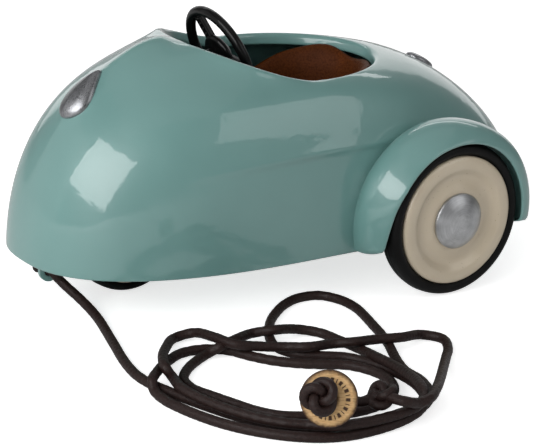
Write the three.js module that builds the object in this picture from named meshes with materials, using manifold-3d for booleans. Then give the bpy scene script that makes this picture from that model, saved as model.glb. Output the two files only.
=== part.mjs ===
// A pressed-metal toy car with two large rear wheels, one small front wheel, an open cockpit
// and a pull cord. Millimetres, +X to the nose, +Y to the driver's left, +Z up.
// The origin lies on the flat underside of the floor pan, on the centre line, below the rear axle.
import * as THREE from 'three';
import { mergeVertices } from 'three/addons/utils/BufferGeometryUtils.js';
import { ParametricGeometry } from 'three/addons/geometries/ParametricGeometry.js';
import Module from 'manifold-3d';

const wasm = await Module();
wasm.setup();

// ---------------------------------------------------------------- driving dimensions
const CLEARANCE = 17;            // underside of the floor pan above the ground
const GROUND = -CLEARANCE;
const SHEET = 1.2;               // thickness of the pressed sheet metal
const GAP = 0.35;                // working gap between neighbouring pieces

const REAR_TYRE = 25.5;          // radii of the two wheel sizes
const FRONT_TYRE = 19;
const WHEELBASE = 91;
const TRACK_FACE = 55;           // centre line to the outer face of a rear wheel
const TYRE_WIDTH = 8.6;
const AXLE = 1.5;                // radius of both axles

const BODY_MID = 45;             // where the plan outline is widest
const BODY_NOSE = 83.5;          // from there to the nose
const BODY_TAIL = 102.8;          // and to the tail
const BODY_HALF = 41;            // half the body's width at the skirt
const SKIRT_Z = GROUND + 15.6;

const RIM_MID = 39.6;             // cockpit opening, measured on the crest of its rolled edge
const RIM_NOSE = 36.4;
const RIM_TAIL = 40.1;
const RIM_HALF = 29.6;
const RIM_Z = GROUND + 70;
const COWL_RISE = 11.5;          // how far the rim climbs from the doors to the cowl
const LIP_RADIUS = 2;

const STEER_CENTRE = [57.5, 0, GROUND + 73.6];
const STEER_TILT = THREE.MathUtils.degToRad(23);
const STEER_OUTER = 17;
const STEER_TUBE = 1.65;
const STEER_TURN = THREE.MathUtils.degToRad(-25);

const PAN = 1.6;                 // floor pan thickness
const GEAR_MODULE = 0.6;
const CORD = 1.5;                // cord radius

const REAR_Z = GROUND + REAR_TYRE;
const FRONT_Z = GROUND + FRONT_TYRE;
const SIDES = [['left', 1], ['right', -1]];

const finish = {
  paint: { color: 0x86aaa6, roughness: 0.22, metalness: 0.1 },
  cream: { color: 0xcfc3a6, roughness: 0.35, metalness: 0 },
  silver: { color: 0xb4b4b2, roughness: 0.32, metalness: 0.8 },
  rubber: { color: 0x141414, roughness: 0.75, metalness: 0 },
  blackPlastic: { color: 0x0d0d0e, roughness: 0.18, metalness: 0 },
  leather: { color: 0x5a2f17, roughness: 0.6, metalness: 0 },
  steel: { color: 0x9a9da1, roughness: 0.35, metalness: 0.9 },
  brass: { color: 0xb08d4a, roughness: 0.35, metalness: 0.9 },
  housing: { color: 0xd8d4c8, roughness: 0.5, metalness: 0 },
  gear: { color: 0xe9e4d4, roughness: 0.45, metalness: 0 },
  cord: { color: 0x33221f, roughness: 0.7, metalness: 0 },
  wood: { color: 0xc09a63, roughness: 0.6, metalness: 0 },
};

// ---------------------------------------------------------------- solids
function solidOf(geometry) {
  const bare = geometry.clone();
  bare.deleteAttribute('normal');
  bare.deleteAttribute('uv');
  const merged = mergeVertices(bare, 1e-4);
  const index = Array.from(merged.index.array);
  const triangles = [];
  for (let i = 0; i < index.length; i += 3) {
    const [a, b, c] = index.slice(i, i + 3);
    if (a !== b && b !== c && c !== a) {
      triangles.push(a, b, c);
    }
  }
  const build = (corners) => new wasm.Manifold(new wasm.Mesh({
    numProp: 3,
    vertProperties: new Float32Array(merged.attributes.position.array),
    triVerts: new Uint32Array(corners),
  }));
  const solid = build(triangles);
  return solid.volume() > 0 ? solid : build(triangles.reverse());
}

function geometryOf(solid) {
  const mesh = solid.getMesh();
  const geometry = new THREE.BufferGeometry();
  geometry.setAttribute('position', new THREE.BufferAttribute(mesh.vertProperties, 3));
  geometry.setIndex(new THREE.BufferAttribute(mesh.triVerts, 1));
  geometry.computeVertexNormals();
  return geometry;
}

function joined(first, ...others) {
  return geometryOf(others.reduce((sum, geometry) => sum.add(solidOf(geometry)), solidOf(first)));
}

function cut(body, ...tools) {
  return geometryOf(tools.reduce((rest, geometry) => rest.subtract(solidOf(geometry)), solidOf(body)));
}

// Box given by its lowest and highest corner.
function block(low, high) {
  const size = high.map((value, i) => value - low[i]);
  const geometry = new THREE.BoxGeometry(...size);
  return geometry.translate(...high.map((value, i) => (value + low[i]) / 2));
}

// Cylinder along +Y, from y0 to y1, centred on x and z.
function barY(radius, y0, y1, x = 0, z = 0, sides = 16) {
  return new THREE.CylinderGeometry(radius, radius, y1 - y0, sides).translate(x, (y0 + y1) / 2, z);
}

function barZ(radius, z0, z1, x = 0, y = 0, sides = 8) {
  const geometry = new THREE.CylinderGeometry(radius, radius, z1 - z0, sides).rotateX(Math.PI / 2);
  return geometry.translate(x, y, (z0 + z1) / 2);
}

// Turned piece about the Y axis: profile is a list of [radius, y] that ends on the axis or closes.
function turned(profile, x, y, z, sides) {
  const points = profile.map(([radius, along]) => new THREE.Vector2(radius, along));
  return new THREE.LatheGeometry(points, sides).translate(x, y, z);
}

// Flat outline in x and z, given depth along Y from y0 towards +Y.
function plateY(shape, y0, depth, options = {}) {
  const geometry = new THREE.ExtrudeGeometry(shape, { depth, bevelEnabled: false, ...options });
  return geometry.rotateX(Math.PI / 2).translate(0, y0 + depth, 0);
}

// Closed skin of rows + 1 rings. point(row, spot) gives each corner; the first and last rings
// either shrink to a point or are the same ring.
function skin(rows, around, point) {
  const at = (u, v, target) => target.set(...point(Math.round(v * rows), Math.round(u * around) % around));
  return new ParametricGeometry(at, around, rows);
}

const meshes = [];
function add(name, geometry, material) {
  const mesh = new THREE.Mesh(geometryOf(solidOf(geometry)), new THREE.MeshStandardMaterial(finish[material]));
  mesh.name = name;
  meshes.push(mesh);
  return mesh;
}

const signedPower = (value, power) => Math.sign(value) * Math.abs(value) ** power;
const mix = (a, b, t) => a + (b - a) * t;

// ---------------------------------------------------------------- body surface
// How the wall climbs from the skirt to the rim, at the nose, the bonnet's corners, the doors and
// the tail: lift and reach are the handles of its curve, and slope (degrees) is where it meets the rim.
const WALL = {
  nose: { lift: 0.585, reach: 0.53, slope: -1 },
  corner: { lift: 0.24, reach: -0.31, slope: 30 },
  door: { lift: 0.71, reach: 0.56, slope: 19 },
  tail: { lift: 0.415, reach: 0.445, slope: 5.4 },
};
const WALL_ROWS = 8;
const LIP_ROWS = 2;
const ROUND = 40;

// Plan outline of the skirt, and of the cockpit rim with its height, at one angle round the body.
function skirtPoint(angle) {
  const c = Math.cos(angle);
  const power = c > 0 ? 2 / 2.5 : 2 / 2.85;
  const reach = c > 0 ? BODY_NOSE : BODY_TAIL;
  return [BODY_MID + reach * signedPower(c, power), BODY_HALF * signedPower(Math.sin(angle), power)];
}

function rimPoint(angle) {
  const c = Math.cos(angle);
  const power = c > 0 ? 2 / 2.4 : 1;
  const reach = c > 0 ? RIM_NOSE : RIM_TAIL;
  const forward = signedPower(c, power);
  const height = RIM_Z + COWL_RISE * Math.max(0, forward) ** 1.55;
  return [RIM_MID + reach * forward, RIM_HALF * signedPower(Math.sin(angle), power), height];
}

function wallShape(angle, key) {
  const c = Math.cos(angle);
  const s = Math.sin(angle);
  const weight = {
    nose: Math.max(0, c) ** 2,
    corner: 2 * Math.max(0, c) * Math.abs(s),
    door: s * s,
    tail: Math.max(0, -c) ** 2,
  };
  return Object.keys(WALL).reduce((sum, place) => sum + weight[place] * WALL[place][key], 0);
}

const bezier = (p, t) => {
  const s = 1 - t;
  return s ** 3 * p[0] + 3 * s * s * t * p[1] + 3 * s * t * t * p[2] + t ** 3 * p[3];
};
const bezierSlope = (p, t) => {
  const s = 1 - t;
  return 3 * (s * s * (p[1] - p[0]) + 2 * s * t * (p[2] - p[1]) + t * t * (p[3] - p[2]));
};

// Low spine pressed along the bonnet, from above the lamp to the cowl.
function spineHeight(x, y) {
  const { smoothstep } = THREE.MathUtils;
  return 1.3 * smoothstep(x, 75, 81) * (1 - smoothstep(x, 84, 104)) * Math.exp(-((y / 4.5) ** 2));
}

// A point on the wall at an angle round the body. It runs up from the skirt (row 0 to WALL_ROWS),
// over the crest of the rim and down its rolled lip. Positive offset moves it outwards.
function wallPoint(angle, row, offset) {
  const skirt = skirtPoint(angle);
  const rim = rimPoint(angle);
  const width = Math.hypot(skirt[0] - rim[0], skirt[1] - rim[1]);
  const rise = rim[2] - SKIRT_Z;
  const slope = THREE.MathUtils.degToRad(wallShape(angle, 'slope'));
  const reach = wallShape(angle, 'reach') * width;
  const across = [width, width, reach, 0];
  const up = [0, wallShape(angle, 'lift') * rise, rise - reach * Math.tan(slope), rise];
  let normal;
  let q;
  let z;
  if (row <= WALL_ROWS) {
    const t = row / WALL_ROWS;
    const dq = bezierSlope(across, t);
    const dz = bezierSlope(up, t);
    normal = [dz / Math.hypot(dq, dz), -dq / Math.hypot(dq, dz)];
    q = bezier(across, t);
    z = bezier(up, t);
  } else {
    const turn = mix(slope, -0.42 * Math.PI, (row - WALL_ROWS) / LIP_ROWS);
    normal = [Math.sin(turn), Math.cos(turn)];
    q = LIP_RADIUS * (normal[0] - Math.sin(slope));
    z = rise + LIP_RADIUS * (normal[1] - Math.cos(slope));
  }
  q += offset * normal[0];
  z += offset * normal[1];
  const x = rim[0] + ((skirt[0] - rim[0]) / width) * q;
  const y = rim[1] + ((skirt[1] - rim[1]) / width) * q;
  return [x, y, SKIRT_Z + z + spineHeight(x, y)];
}

const angleOf = (spot, count = ROUND) => (spot / count) * 2 * Math.PI;

// The filled outside of the body grown by an offset: the tool that trims what meets the body.
function bodyFilled(offset) {
  const rows = WALL_ROWS + 2;
  return skin(rows, ROUND, (row, spot) => {
    if (row === 0 || row === rows) {
      return [RIM_MID, 0, row === 0 ? SKIRT_Z - 3 : RIM_Z + COWL_RISE / 2];
    }
    const point = wallPoint(angleOf(spot), row - 1, offset);
    return row === 1 ? [point[0], point[1], SKIRT_Z - 3] : point;
  });
}

const SCREWS = [[100, 18], [100, -18], [-24, 20], [-24, -20]];   // under the pan, into the body's tabs
const TAB_Z = PAN + 0.15;

function bodyShell() {
  const rows = WALL_ROWS + LIP_ROWS;
  const wall = skin(2 * (rows + 1), ROUND, (row, spot) => {
    const step = row % (2 * (rows + 1));
    const outer = step <= rows;
    return wallPoint(angleOf(spot), outer ? step : 2 * rows + 1 - step, outer ? 0 : -SHEET);
  });
  const tabs = SCREWS.map(([x, y]) => {
    const side = Math.sign(y);
    const far = side * (Math.abs(y) + 22);
    return block([x - 4, Math.min(y - 4 * side, far), TAB_Z], [x + 4, Math.max(y - 4 * side, far), TAB_Z + SHEET]);
  });
  const tabHoles = SCREWS.map(([x, y]) => barZ(1.15, 0, 6, x, y));
  const trimmedTabs = tabs.map((tab) => geometryOf(solidOf(tab).intersect(solidOf(bodyFilled(-SHEET / 2)))));
  const axleHoles = barY(3, -60, 60, 0, REAR_Z, 12);
  return cut(joined(wall, ...trimmedTabs), axleHoles, ...tabHoles);
}

// ---------------------------------------------------------------- domes pressed on the body
// The body's surface over a wanted y (near the centre line) on one row of the nose or tail.
function surfaceNear(y, row, end, offset) {
  let low = 0;
  let high = 0.9;
  for (let i = 0; i < 30; i += 1) {
    const middle = (low + high) / 2;
    const reached = wallPoint(middle, row, offset)[1];
    [low, high] = reached < Math.abs(y) ? [middle, high] : [low, middle];
  }
  const angle = Math.sign(y) * low;
  return wallPoint(end === 'nose' ? angle : Math.PI - angle, row, offset);
}

// A dome that follows the body: half its width, the rows it spans, its height, and how far the
// outline narrows towards its upper tip.
function bodyDome(end, halfWidth, rowLow, rowHigh, height, narrowing) {
  const rings = 4;
  const around = 18;
  return skin(rings + 2, around, (row, spot) => {
    const radius = row < 2 ? row : Math.cos(((row - 2) / rings) * (Math.PI / 2));
    const lift = row < 2 ? GAP : GAP + 0.4 + height * Math.sqrt(Math.max(0, 1 - radius * radius));
    const across = radius * Math.cos(angleOf(spot, around));
    const along = radius * Math.sin(angleOf(spot, around));
    const y = halfWidth * across * (1 - narrowing * along);
    return surfaceNear(y, mix(rowLow, rowHigh, (along + 1) / 2), end, lift);
  });
}

// ---------------------------------------------------------------- mudguards
const GUARD_EDGE = 26.6;         // radius of the wheel opening in a mudguard
const GUARD_FACE = TRACK_FACE + 1;
const GUARD_CREST = 34.5;        // handle radii of the section: they lift the crest clear of the tyre,
const GUARD_SLOPE = 33;          // and slope the face from there down to the opening
const GUARD_STEPS = 5;

// Section of a mudguard at an angle round the wheel (degrees, 0 at the front, 90 on top), as
// [y, radius]: from the body over the crest to the opening. Towards its front end it opens out and
// gets narrower.
function guardSection(degrees) {
  const join = 26 + 5 * (Math.max(0, 42 - degrees) / 60) ** 1.5;
  const flare = 2.4 * (Math.max(0, 8 - degrees) / 25) ** 2;
  const straight = Math.max(0, 30 - degrees) / 48;
  const face = GUARD_FACE - 4 * straight;
  const outer = new THREE.CubicBezierCurve(
    new THREE.Vector2(37, join), new THREE.Vector2(41, mix(GUARD_CREST, 32.2, straight)),
    new THREE.Vector2(face - mix(6.5, 3, straight), mix(GUARD_SLOPE, 32.4, straight)),
    new THREE.Vector2(face, GUARD_EDGE + flare));
  const points = outer.getPoints(GUARD_STEPS);
  const inner = points.map((point, i) => {
    const tangent = outer.getTangent(i / GUARD_STEPS);
    return new THREE.Vector2(point.x + tangent.y * SHEET, point.y - tangent.x * SHEET);
  });
  return [...points, ...inner.reverse()];
}

function mudguard(side) {
  const steps = 24;
  const [from, to] = [-17, 190];
  const sweep = skin(steps + 2, 2 * (GUARD_STEPS + 1), (row, spot) => {
    const step = Math.min(Math.max(row - 1, 0), steps);
    const degrees = mix(from, to, step / steps);
    const turn = THREE.MathUtils.degToRad(degrees);
    const section = guardSection(degrees);
    const closed = row === 0 || row === steps + 2;
    const middle = section[2].clone().add(section[section.length - 3]).multiplyScalar(0.5);
    const { x: y, y: radius } = closed ? middle : section[spot];
    return [radius * Math.cos(turn), side * y, REAR_Z + radius * Math.sin(turn)];
  });
  return cut(sweep, bodyFilled(GAP));
}

// ---------------------------------------------------------------- wheels
// Profiles are [radius, y] with the wheel's middle at y = 0 and its outer face towards +y.
function tyre(radius, half) {
  const seat = 0.84 * radius;
  return turned([
    [seat, -0.7 * half], [0.9 * radius, -half], [0.965 * radius, -0.85 * half],
    [radius, -0.4 * half], [radius, 0.4 * half], [0.965 * radius, 0.85 * half],
    [0.9 * radius, half], [seat, 0.7 * half], [seat, -0.7 * half],
  ], 0, 0, 0, 28);
}

function wheelDisc(radius, half) {
  const seat = 0.84 * radius - 0.15;
  const bore = AXLE + 0.09;
  return turned([
    [bore, -half - 0.8], [0.18 * radius, -half - 0.8], [0.2 * radius, -half * 0.5],
    [0.68 * radius, -half * 0.35], [seat, -half * 0.8], [seat, half * 0.85],
    [0.76 * radius, half + 0.2], [0.66 * radius, half * 0.95], [0.58 * radius, half * 0.72],
    [0.52 * radius, half * 0.85], [bore, half * 0.85], [bore, -half - 0.8],
  ], 0, 0, 0, 28);
}

function frontDisc(radius, half) {
  const seat = 0.84 * radius - 0.15;
  const bore = AXLE + 0.09;
  const face = [
    [seat, half * 0.85], [0.76 * radius, half + 0.2], [0.66 * radius, half * 0.95],
    [0.58 * radius, half * 0.72], [0.25 * radius, half * 0.8], [0.18 * radius, half + 0.7],
    [bore, half + 0.7],
  ];
  const back = face.map(([r, y]) => [r, -y]).reverse();
  return turned([...back, ...face, back[0]], 0, 0, 0, 24);
}

function hubcap() {
  const radius = 0.36 * REAR_TYRE;
  return turned([
    [0, 0], [radius, 0], [radius, 0.5], [0.85 * radius, 2], [0.5 * radius, 3.4], [0, 3.9],
  ], 0, 0, 0, 24);
}

// A turned tool or screw that stands up along Z: profile is a list of [radius, z].
function uprightTurned(profile, x, y) {
  return turned(profile, 0, 0, 0, 8).rotateX(Math.PI / 2).translate(x, y, 0);
}

// A countersunk screw that points up, its head flush in the underside of the pan.
function screwUp(x, y) {
  return uprightTurned([[0, 0.08], [2, 0.08], [1, 1.1], [1, 4], [0, 4]], x, y);
}

// A screw that points down: z is the top of its round head, and it ends inside the pan.
function screwDown(x, y, z) {
  return joined(barZ(1.8, z - 1, z, x, y), barZ(0.95, 0.1, z - 0.9, x, y));
}

// ---------------------------------------------------------------- gears
// Spur gear outline in x and z with involute flanks; the first tooth points along angle phase.
function gearShape(teeth, bore, phase) {
  const pitch = (GEAR_MODULE * teeth) / 2;
  const base = pitch * Math.cos(THREE.MathUtils.degToRad(20));
  const tip = pitch + 0.9 * GEAR_MODULE;
  const root = pitch - 1.2 * GEAR_MODULE;
  const involute = (radius) => {
    const roll = Math.sqrt(Math.max(0, (radius / base) ** 2 - 1));
    return roll - Math.atan(roll);
  };
  const halfTooth = (0.43 * Math.PI) / teeth + involute(pitch);
  const flank = [root, pitch, tip];
  const shape = new THREE.Shape();
  const points = [];
  for (let tooth = 0; tooth < teeth; tooth += 1) {
    const middle = phase + (tooth / teeth) * 2 * Math.PI;
    const half = flank.map((radius) => halfTooth - involute(radius));
    flank.forEach((radius, i) => points.push([radius, middle - half[i]]));
    [...flank].reverse().forEach((radius, i) => points.push([radius, middle + half[flank.length - 1 - i]]));
  }
  shape.setFromPoints(points.map(([r, a]) => new THREE.Vector2(r * Math.cos(a), r * Math.sin(a))));
  shape.closePath();
  if (bore > 0) {
    const hole = new THREE.Path();
    hole.absarc(0, 0, bore, 0, 2 * Math.PI, true);
    shape.holes.push(hole);
  }
  return shape;
}

function gearSolid(teeth, bore, x, z, phase, y0, y1) {
  return plateY(gearShape(teeth, bore, phase), y0, y1 - y0, { curveSegments: 6 }).translate(x, 0, z);
}

// ---------------------------------------------------------------- body, mudguards, trim
add('body_shell', bodyShell(), 'paint');
SIDES.forEach(([side, sign]) => add(`${side}_mudguard`, mudguard(sign), 'paint'));
add('headlamp_cover', bodyDome('nose', 4.9, 0.465 * WALL_ROWS, 0.675 * WALL_ROWS, 3.4, 0.68), 'silver');
add('tail_cap', bodyDome('tail', 4.3, 0.65 * WALL_ROWS, 0.77 * WALL_ROWS, 1.5, 0), 'silver');

const EYE = [118.6, 0, GROUND + 10.4];   // centre of the hole in the tow eye
const FORK_SCREWS = [[83.5, 11.8], [83.5, -11.8]];
const TOW_SCREW = [116, -5];
const MOTOR_SCREWS = [[32.4, 4], [32.4, -4]];
function floorPan() {
  const outline = [];
  for (let spot = 0; spot < ROUND; spot += 1) {
    const [x, y] = wallPoint(angleOf(spot), 0, -SHEET - 0.7);
    outline.push(new THREE.Vector2(x, -y));
  }
  const shape = new THREE.Shape(outline);
  const pan = new THREE.ExtrudeGeometry(shape, { depth: PAN, bevelEnabled: false }).rotateX(Math.PI);
  pan.translate(0, 0, PAN);
  const wheelSlot = block([WHEELBASE - 20.5, -8.7, -1], [WHEELBASE + 20.5, 8.7, 3]);
  const pinSlot = block([WHEELBASE - 4.5, -11, -1], [WHEELBASE + 4.5, 11, 3]);
  const eyeSlot = block([EYE[0] - 4.2, -1.2, -1], [EYE[0] + 4.2, 1.2, 3]);
  const holes = [...FORK_SCREWS, TOW_SCREW, ...MOTOR_SCREWS].map(([x, y]) => barZ(1.2, -1, 3, x, y));
  const sinks = SCREWS.map(([x, y]) => {
    return uprightTurned([[0, -1], [2.25, -1], [2.25, 0.05], [1.2, 1.15], [1.2, 3], [0, 3]], x, y);
  });
  return cut(pan, wheelSlot, pinSlot, eyeSlot, ...holes, ...sinks);
}

add('floor_pan', floorPan(), 'paint');
SCREWS.forEach(([x, y], i) => add(`pan_screw_${i + 1}`, screwUp(x, y), 'steel'));

// ---------------------------------------------------------------- tow eye at the nose
function towEye() {
  const plate = new THREE.Shape();
  plate.moveTo(EYE[0] - 3.6, TAB_Z + 0.1);
  plate.lineTo(EYE[0] - 3.6, EYE[2]);
  plate.absarc(EYE[0], EYE[2], 3.6, Math.PI, 2 * Math.PI, false);
  plate.lineTo(EYE[0] + 3.6, TAB_Z + 0.1);
  plate.closePath();
  const hole = new THREE.Path();
  hole.absarc(EYE[0], EYE[2], CORD + 0.5, 0, 2 * Math.PI, true);
  plate.holes.push(hole);
  const tab = plateY(plate, -0.7, 1.4, { curveSegments: 8 });
  const foot = block([112, -8.2, TAB_Z], [EYE[0] + 3.6, 0.7, TAB_Z + SHEET]);
  return cut(joined(tab, foot), barZ(1.2, 0, 4, ...TOW_SCREW));
}
add('tow_eye', towEye(), 'paint');
add('tow_screw', screwDown(...TOW_SCREW, TAB_Z + SHEET + 1.15), 'steel');

// ---------------------------------------------------------------- rear axle and wheels
const REAR_MID = TRACK_FACE - TYRE_WIDTH / 2 - 0.2;
add('rear_axle', barY(AXLE, -REAR_MID - 3.4, REAR_MID + 3.4, 0, REAR_Z), 'steel');
SIDES.forEach(([side, sign]) => {
  const place = (geometry, y) => {
    geometry.rotateZ(sign < 0 ? Math.PI : 0);
    return geometry.translate(0, sign * y, REAR_Z);
  };
  add(`${side}_rear_tyre`, place(tyre(REAR_TYRE, TYRE_WIDTH / 2), REAR_MID), 'rubber');
  add(`${side}_rear_wheel`, place(wheelDisc(REAR_TYRE, TYRE_WIDTH / 2), REAR_MID), 'cream');
  add(`${side}_rear_hubcap`, place(hubcap(), REAR_MID + 0.85 * TYRE_WIDTH / 2 + 0.2), 'silver');
  const [near, far] = [28, 35];
  const plate = block([-6, sign > 0 ? near : -near - SHEET, TAB_Z], [6, sign > 0 ? near + SHEET : -near, 13.5]);
  const foot = block([-6, sign > 0 ? near : -far, TAB_Z], [6, sign > 0 ? far : -near, TAB_Z + SHEET]);
  const bracket = cut(joined(plate, foot), barY(AXLE + 0.09, -40, 40, 0, REAR_Z));
  add(`${side}_axle_bracket`, bracket, 'steel');
});

// ---------------------------------------------------------------- front wheel in its fork
const FRONT_HALF = 5.2;
const CHEEK = 7;
function frontFork() {
  const top = FRONT_Z + FRONT_TYRE + 1.5;
  const cheek = (sign) => {
    const [a, b] = sign > 0 ? [CHEEK, CHEEK + SHEET] : [-CHEEK - SHEET, -CHEEK];
    return block([80, a, FRONT_Z - 4.5], [99, b, top + SHEET]);
  };
  const foot = (sign) => {
    const [a, b] = sign > 0 ? [CHEEK + 0.5, 15.5] : [-15.5, -CHEEK - 0.5];
    return block([80, a, TAB_Z], [86.5, b, TAB_Z + SHEET]);
  };
  const bridge = block([80, -CHEEK - SHEET, top], [99, CHEEK + SHEET, top + SHEET]);
  const fork = joined(bridge, cheek(1), cheek(-1), foot(1), foot(-1));
  const pin = barY(AXLE + 0.09, -20, 20, WHEELBASE, FRONT_Z);
  return cut(fork, pin, ...FORK_SCREWS.map(([x, y]) => barZ(1.1, 0, 6, x, y)));
}
add('front_fork', frontFork(), 'steel');
FORK_SCREWS.forEach(([x, y], i) => add(`fork_screw_${i + 1}`, screwDown(x, y, TAB_Z + SHEET + 1.15), 'steel'));
add('front_tyre', tyre(FRONT_TYRE, FRONT_HALF).translate(WHEELBASE, 0, FRONT_Z), 'rubber');
add('front_wheel', frontDisc(FRONT_TYRE, FRONT_HALF).translate(WHEELBASE, 0, FRONT_Z), 'cream');
const frontPin = joined(barY(AXLE, -9.9, 9, WHEELBASE, FRONT_Z), barY(2.4, 8.4, 9.6, WHEELBASE, FRONT_Z));
add('front_axle_pin', frontPin, 'steel');
const clip = turned([[AXLE + 0.05, 0], [2.5, 0], [2.5, 0.7], [AXLE + 0.05, 0.7], [AXLE + 0.05, 0]], 0, 0, 0, 16);
add('front_axle_clip', clip.translate(WHEELBASE, -9.4, FRONT_Z), 'steel');

// ---------------------------------------------------------------- steering
const AHEAD = new THREE.Vector3(Math.cos(STEER_TILT), 0, -Math.sin(STEER_TILT));
const UPWARD = new THREE.Vector3(Math.sin(STEER_TILT), 0, Math.cos(STEER_TILT));
const steerFrame = new THREE.Matrix4().makeBasis(UPWARD, AHEAD, new THREE.Vector3(0, 1, 0))
  .setPosition(...STEER_CENTRE);

// The wheel turns about its own Y; its three spokes are evenly spaced.
function steeringWheel() {
  const rim = new THREE.TorusGeometry(STEER_OUTER - STEER_TUBE, STEER_TUBE, 7, 26).rotateX(Math.PI / 2);
  const hub = turned([[0, -0.9], [6.6, -0.9], [7, 0.2], [6, 1.6], [3.2, 2.2], [3.2, 5.4], [0, 5.4]], 0, 0, 0, 18);
  const spokes = [270, 30, 150].map((degrees) => {
    const spoke = block([-1.5, -0.8, 5], [1.5, 0.8, STEER_OUTER - STEER_TUBE]);
    return spoke.rotateY(-THREE.MathUtils.degToRad(degrees) - STEER_TURN);
  });
  const bore = barY(AXLE + 0.05, 0.8, 8);
  return cut(joined(rim, hub, ...spokes), bore).applyMatrix4(steerFrame);
}
add('steering_wheel', steeringWheel(), 'blackPlastic');
const steerCap = turned([[0, -3], [1.8, -2.8], [3.2, -2.2], [3.9, -1.25], [0, -1.25]], 0, 0, 0, 16);
add('steering_cap', steerCap.applyMatrix4(steerFrame), 'blackPlastic');
add('steering_column', barY(AXLE, 1.2, 14.5).applyMatrix4(steerFrame), 'steel');
const collar = turned([[AXLE + 0.05, 0], [3, 0], [3, 2], [AXLE + 0.05, 2], [AXLE + 0.05, 0]], 0, 9.9, 0, 16);
add('column_collar', collar.applyMatrix4(steerFrame), 'brass');
function columnBracket() {
  const plate = block([64, -6, TAB_Z], [64 + SHEET, 6, 57.5]);
  const foot = block([55, -6, TAB_Z], [64 + SHEET, 6, TAB_Z + SHEET]);
  return cut(joined(plate, foot), barY(AXLE + 0.09, 3, 20).applyMatrix4(steerFrame));
}
add('column_bracket', columnBracket(), 'steel');

// ---------------------------------------------------------------- seat
const SEAT_Z = 21;
const SEAT_MID = 31;
function seatFrame() {
  const base = block([-8, -24, SEAT_Z], [46, 24, SEAT_Z + SHEET]);
  const rearLeg = block([-9.2, -14, TAB_Z], [-8, 14, SEAT_Z + SHEET]);
  const rearFoot = block([-14, -14, TAB_Z], [-8, 14, TAB_Z + SHEET]);
  const frontLeg = block([44.8, -14, TAB_Z], [46, 14, SEAT_Z + SHEET]);
  const frontFoot = block([44.8, -14, TAB_Z], [51, 14, TAB_Z + SHEET]);
  const back = block([1.2, -11, SEAT_Z], [2.4, 11, 42]);
  return joined(base, rearLeg, rearFoot, frontLeg, frontFoot, back);
}
add('seat_frame', seatFrame(), 'steel');

function seatSquab() {
  const shape = new THREE.Shape();
  const [rear, front, half, corner] = [SEAT_MID, 44, 17.6, 5];
  shape.moveTo(rear, half);
  shape.lineTo(front - corner, half);
  shape.absarc(front - corner, half - corner, corner, Math.PI / 2, 0, true);
  shape.absarc(front - corner, -half + corner, corner, 0, -Math.PI / 2, true);
  shape.lineTo(rear, -half);
  shape.absarc(rear, 0, half, -Math.PI / 2, -3 * Math.PI / 2, true);
  const bevel = { bevelEnabled: true, bevelThickness: 1.6, bevelSize: 1.4, bevelSegments: 2, curveSegments: 5 };
  const pad = new THREE.ExtrudeGeometry(shape, { depth: 3.6, ...bevel });
  return pad.translate(0, 0, SEAT_Z + SHEET + 1.6 + GAP);
}
add('seat_squab', seatSquab(), 'leather');

// Height of the tub back, degrees away from its middle: it dips there and falls towards both arms.
function backHeight(degrees) {
  const { smoothstep } = THREE.MathUtils;
  return 26.2 + 2 * smoothstep(degrees, 0, 32) - 10 * smoothstep(degrees, 38, 105);
}

// A tub-shaped back: a padded wall that wraps round the rear of the squab and leans back.
function seatBack() {
  const steps = 18;
  const section = [[0, 0], [0, 0.93], [0.25, 1], [0.75, 1], [1, 0.93], [1, 0]];
  return skin(steps + 2, section.length, (row, spot) => {
    const step = Math.min(Math.max(row - 1, 0), steps);
    const degrees = mix(78, 282, step / steps);
    const turn = THREE.MathUtils.degToRad(degrees);
    const closed = row === 0 || row === steps + 2;
    const [depth, rise] = closed ? [0.5, 0.5] : section[spot];
    const rear = Math.max(0, -Math.cos(turn));
    const height = rise * backHeight(Math.abs(degrees - 180));
    const x = SEAT_MID + (19.5 + 4 * depth) * Math.cos(turn) - 0.22 * rear * height;
    return [x, (20.5 + 4 * depth) * Math.sin(turn), SEAT_Z + SHEET + GAP + height];
  });
}
add('seat_backrest', seatBack(), 'leather');

// ---------------------------------------------------------------- pull-back motor on the rear axle
const IDLER = [9.27, 11];
const DRUM = [19.47, 11.2];
const WALL_T = 1.1;
const HOUSE = { x: [-6.5, 29.5], z: [TAB_Z, 20.6], right: -9, left: 10 };

function housingHalf(left) {
  const [y0, y1] = left ? [0.1, HOUSE.left] : [HOUSE.right, -0.1];
  const [in0, in1] = left ? [-1, HOUSE.left - WALL_T] : [HOUSE.right + WALL_T, 1];
  const outside = block([HOUSE.x[0], y0, HOUSE.z[0]], [HOUSE.x[1], y1, HOUSE.z[1]]);
  const inside = block([HOUSE.x[0] + WALL_T, in0, HOUSE.z[0] + WALL_T], [HOUSE.x[1] - WALL_T, in1, HOUSE.z[1] - WALL_T]);
  const ear = block([HOUSE.x[1] - 0.5, left ? 1 : -7, HOUSE.z[0]], [36, left ? 7 : -1, HOUSE.z[0] + 1.4]);
  const shafts = [[AXLE + 0.09, 0, REAR_Z], [AXLE + 0.09, ...DRUM], [0.9, ...IDLER]];
  const holes = shafts.map(([radius, x, z]) => barY(radius, -20, 20, x, z));
  const screw = MOTOR_SCREWS[left ? 0 : 1];
  return cut(joined(cut(outside, inside), ear), ...holes, barZ(1.05, 0, 6, ...screw));
}
add('motor_housing_left', housingHalf(true), 'housing');
add('motor_housing_right', housingHalf(false), 'housing');
MOTOR_SCREWS.forEach(([x, y], i) => add(`motor_screw_${i + 1}`, screwDown(x, y, TAB_Z + 2.55), 'steel'));

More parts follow.
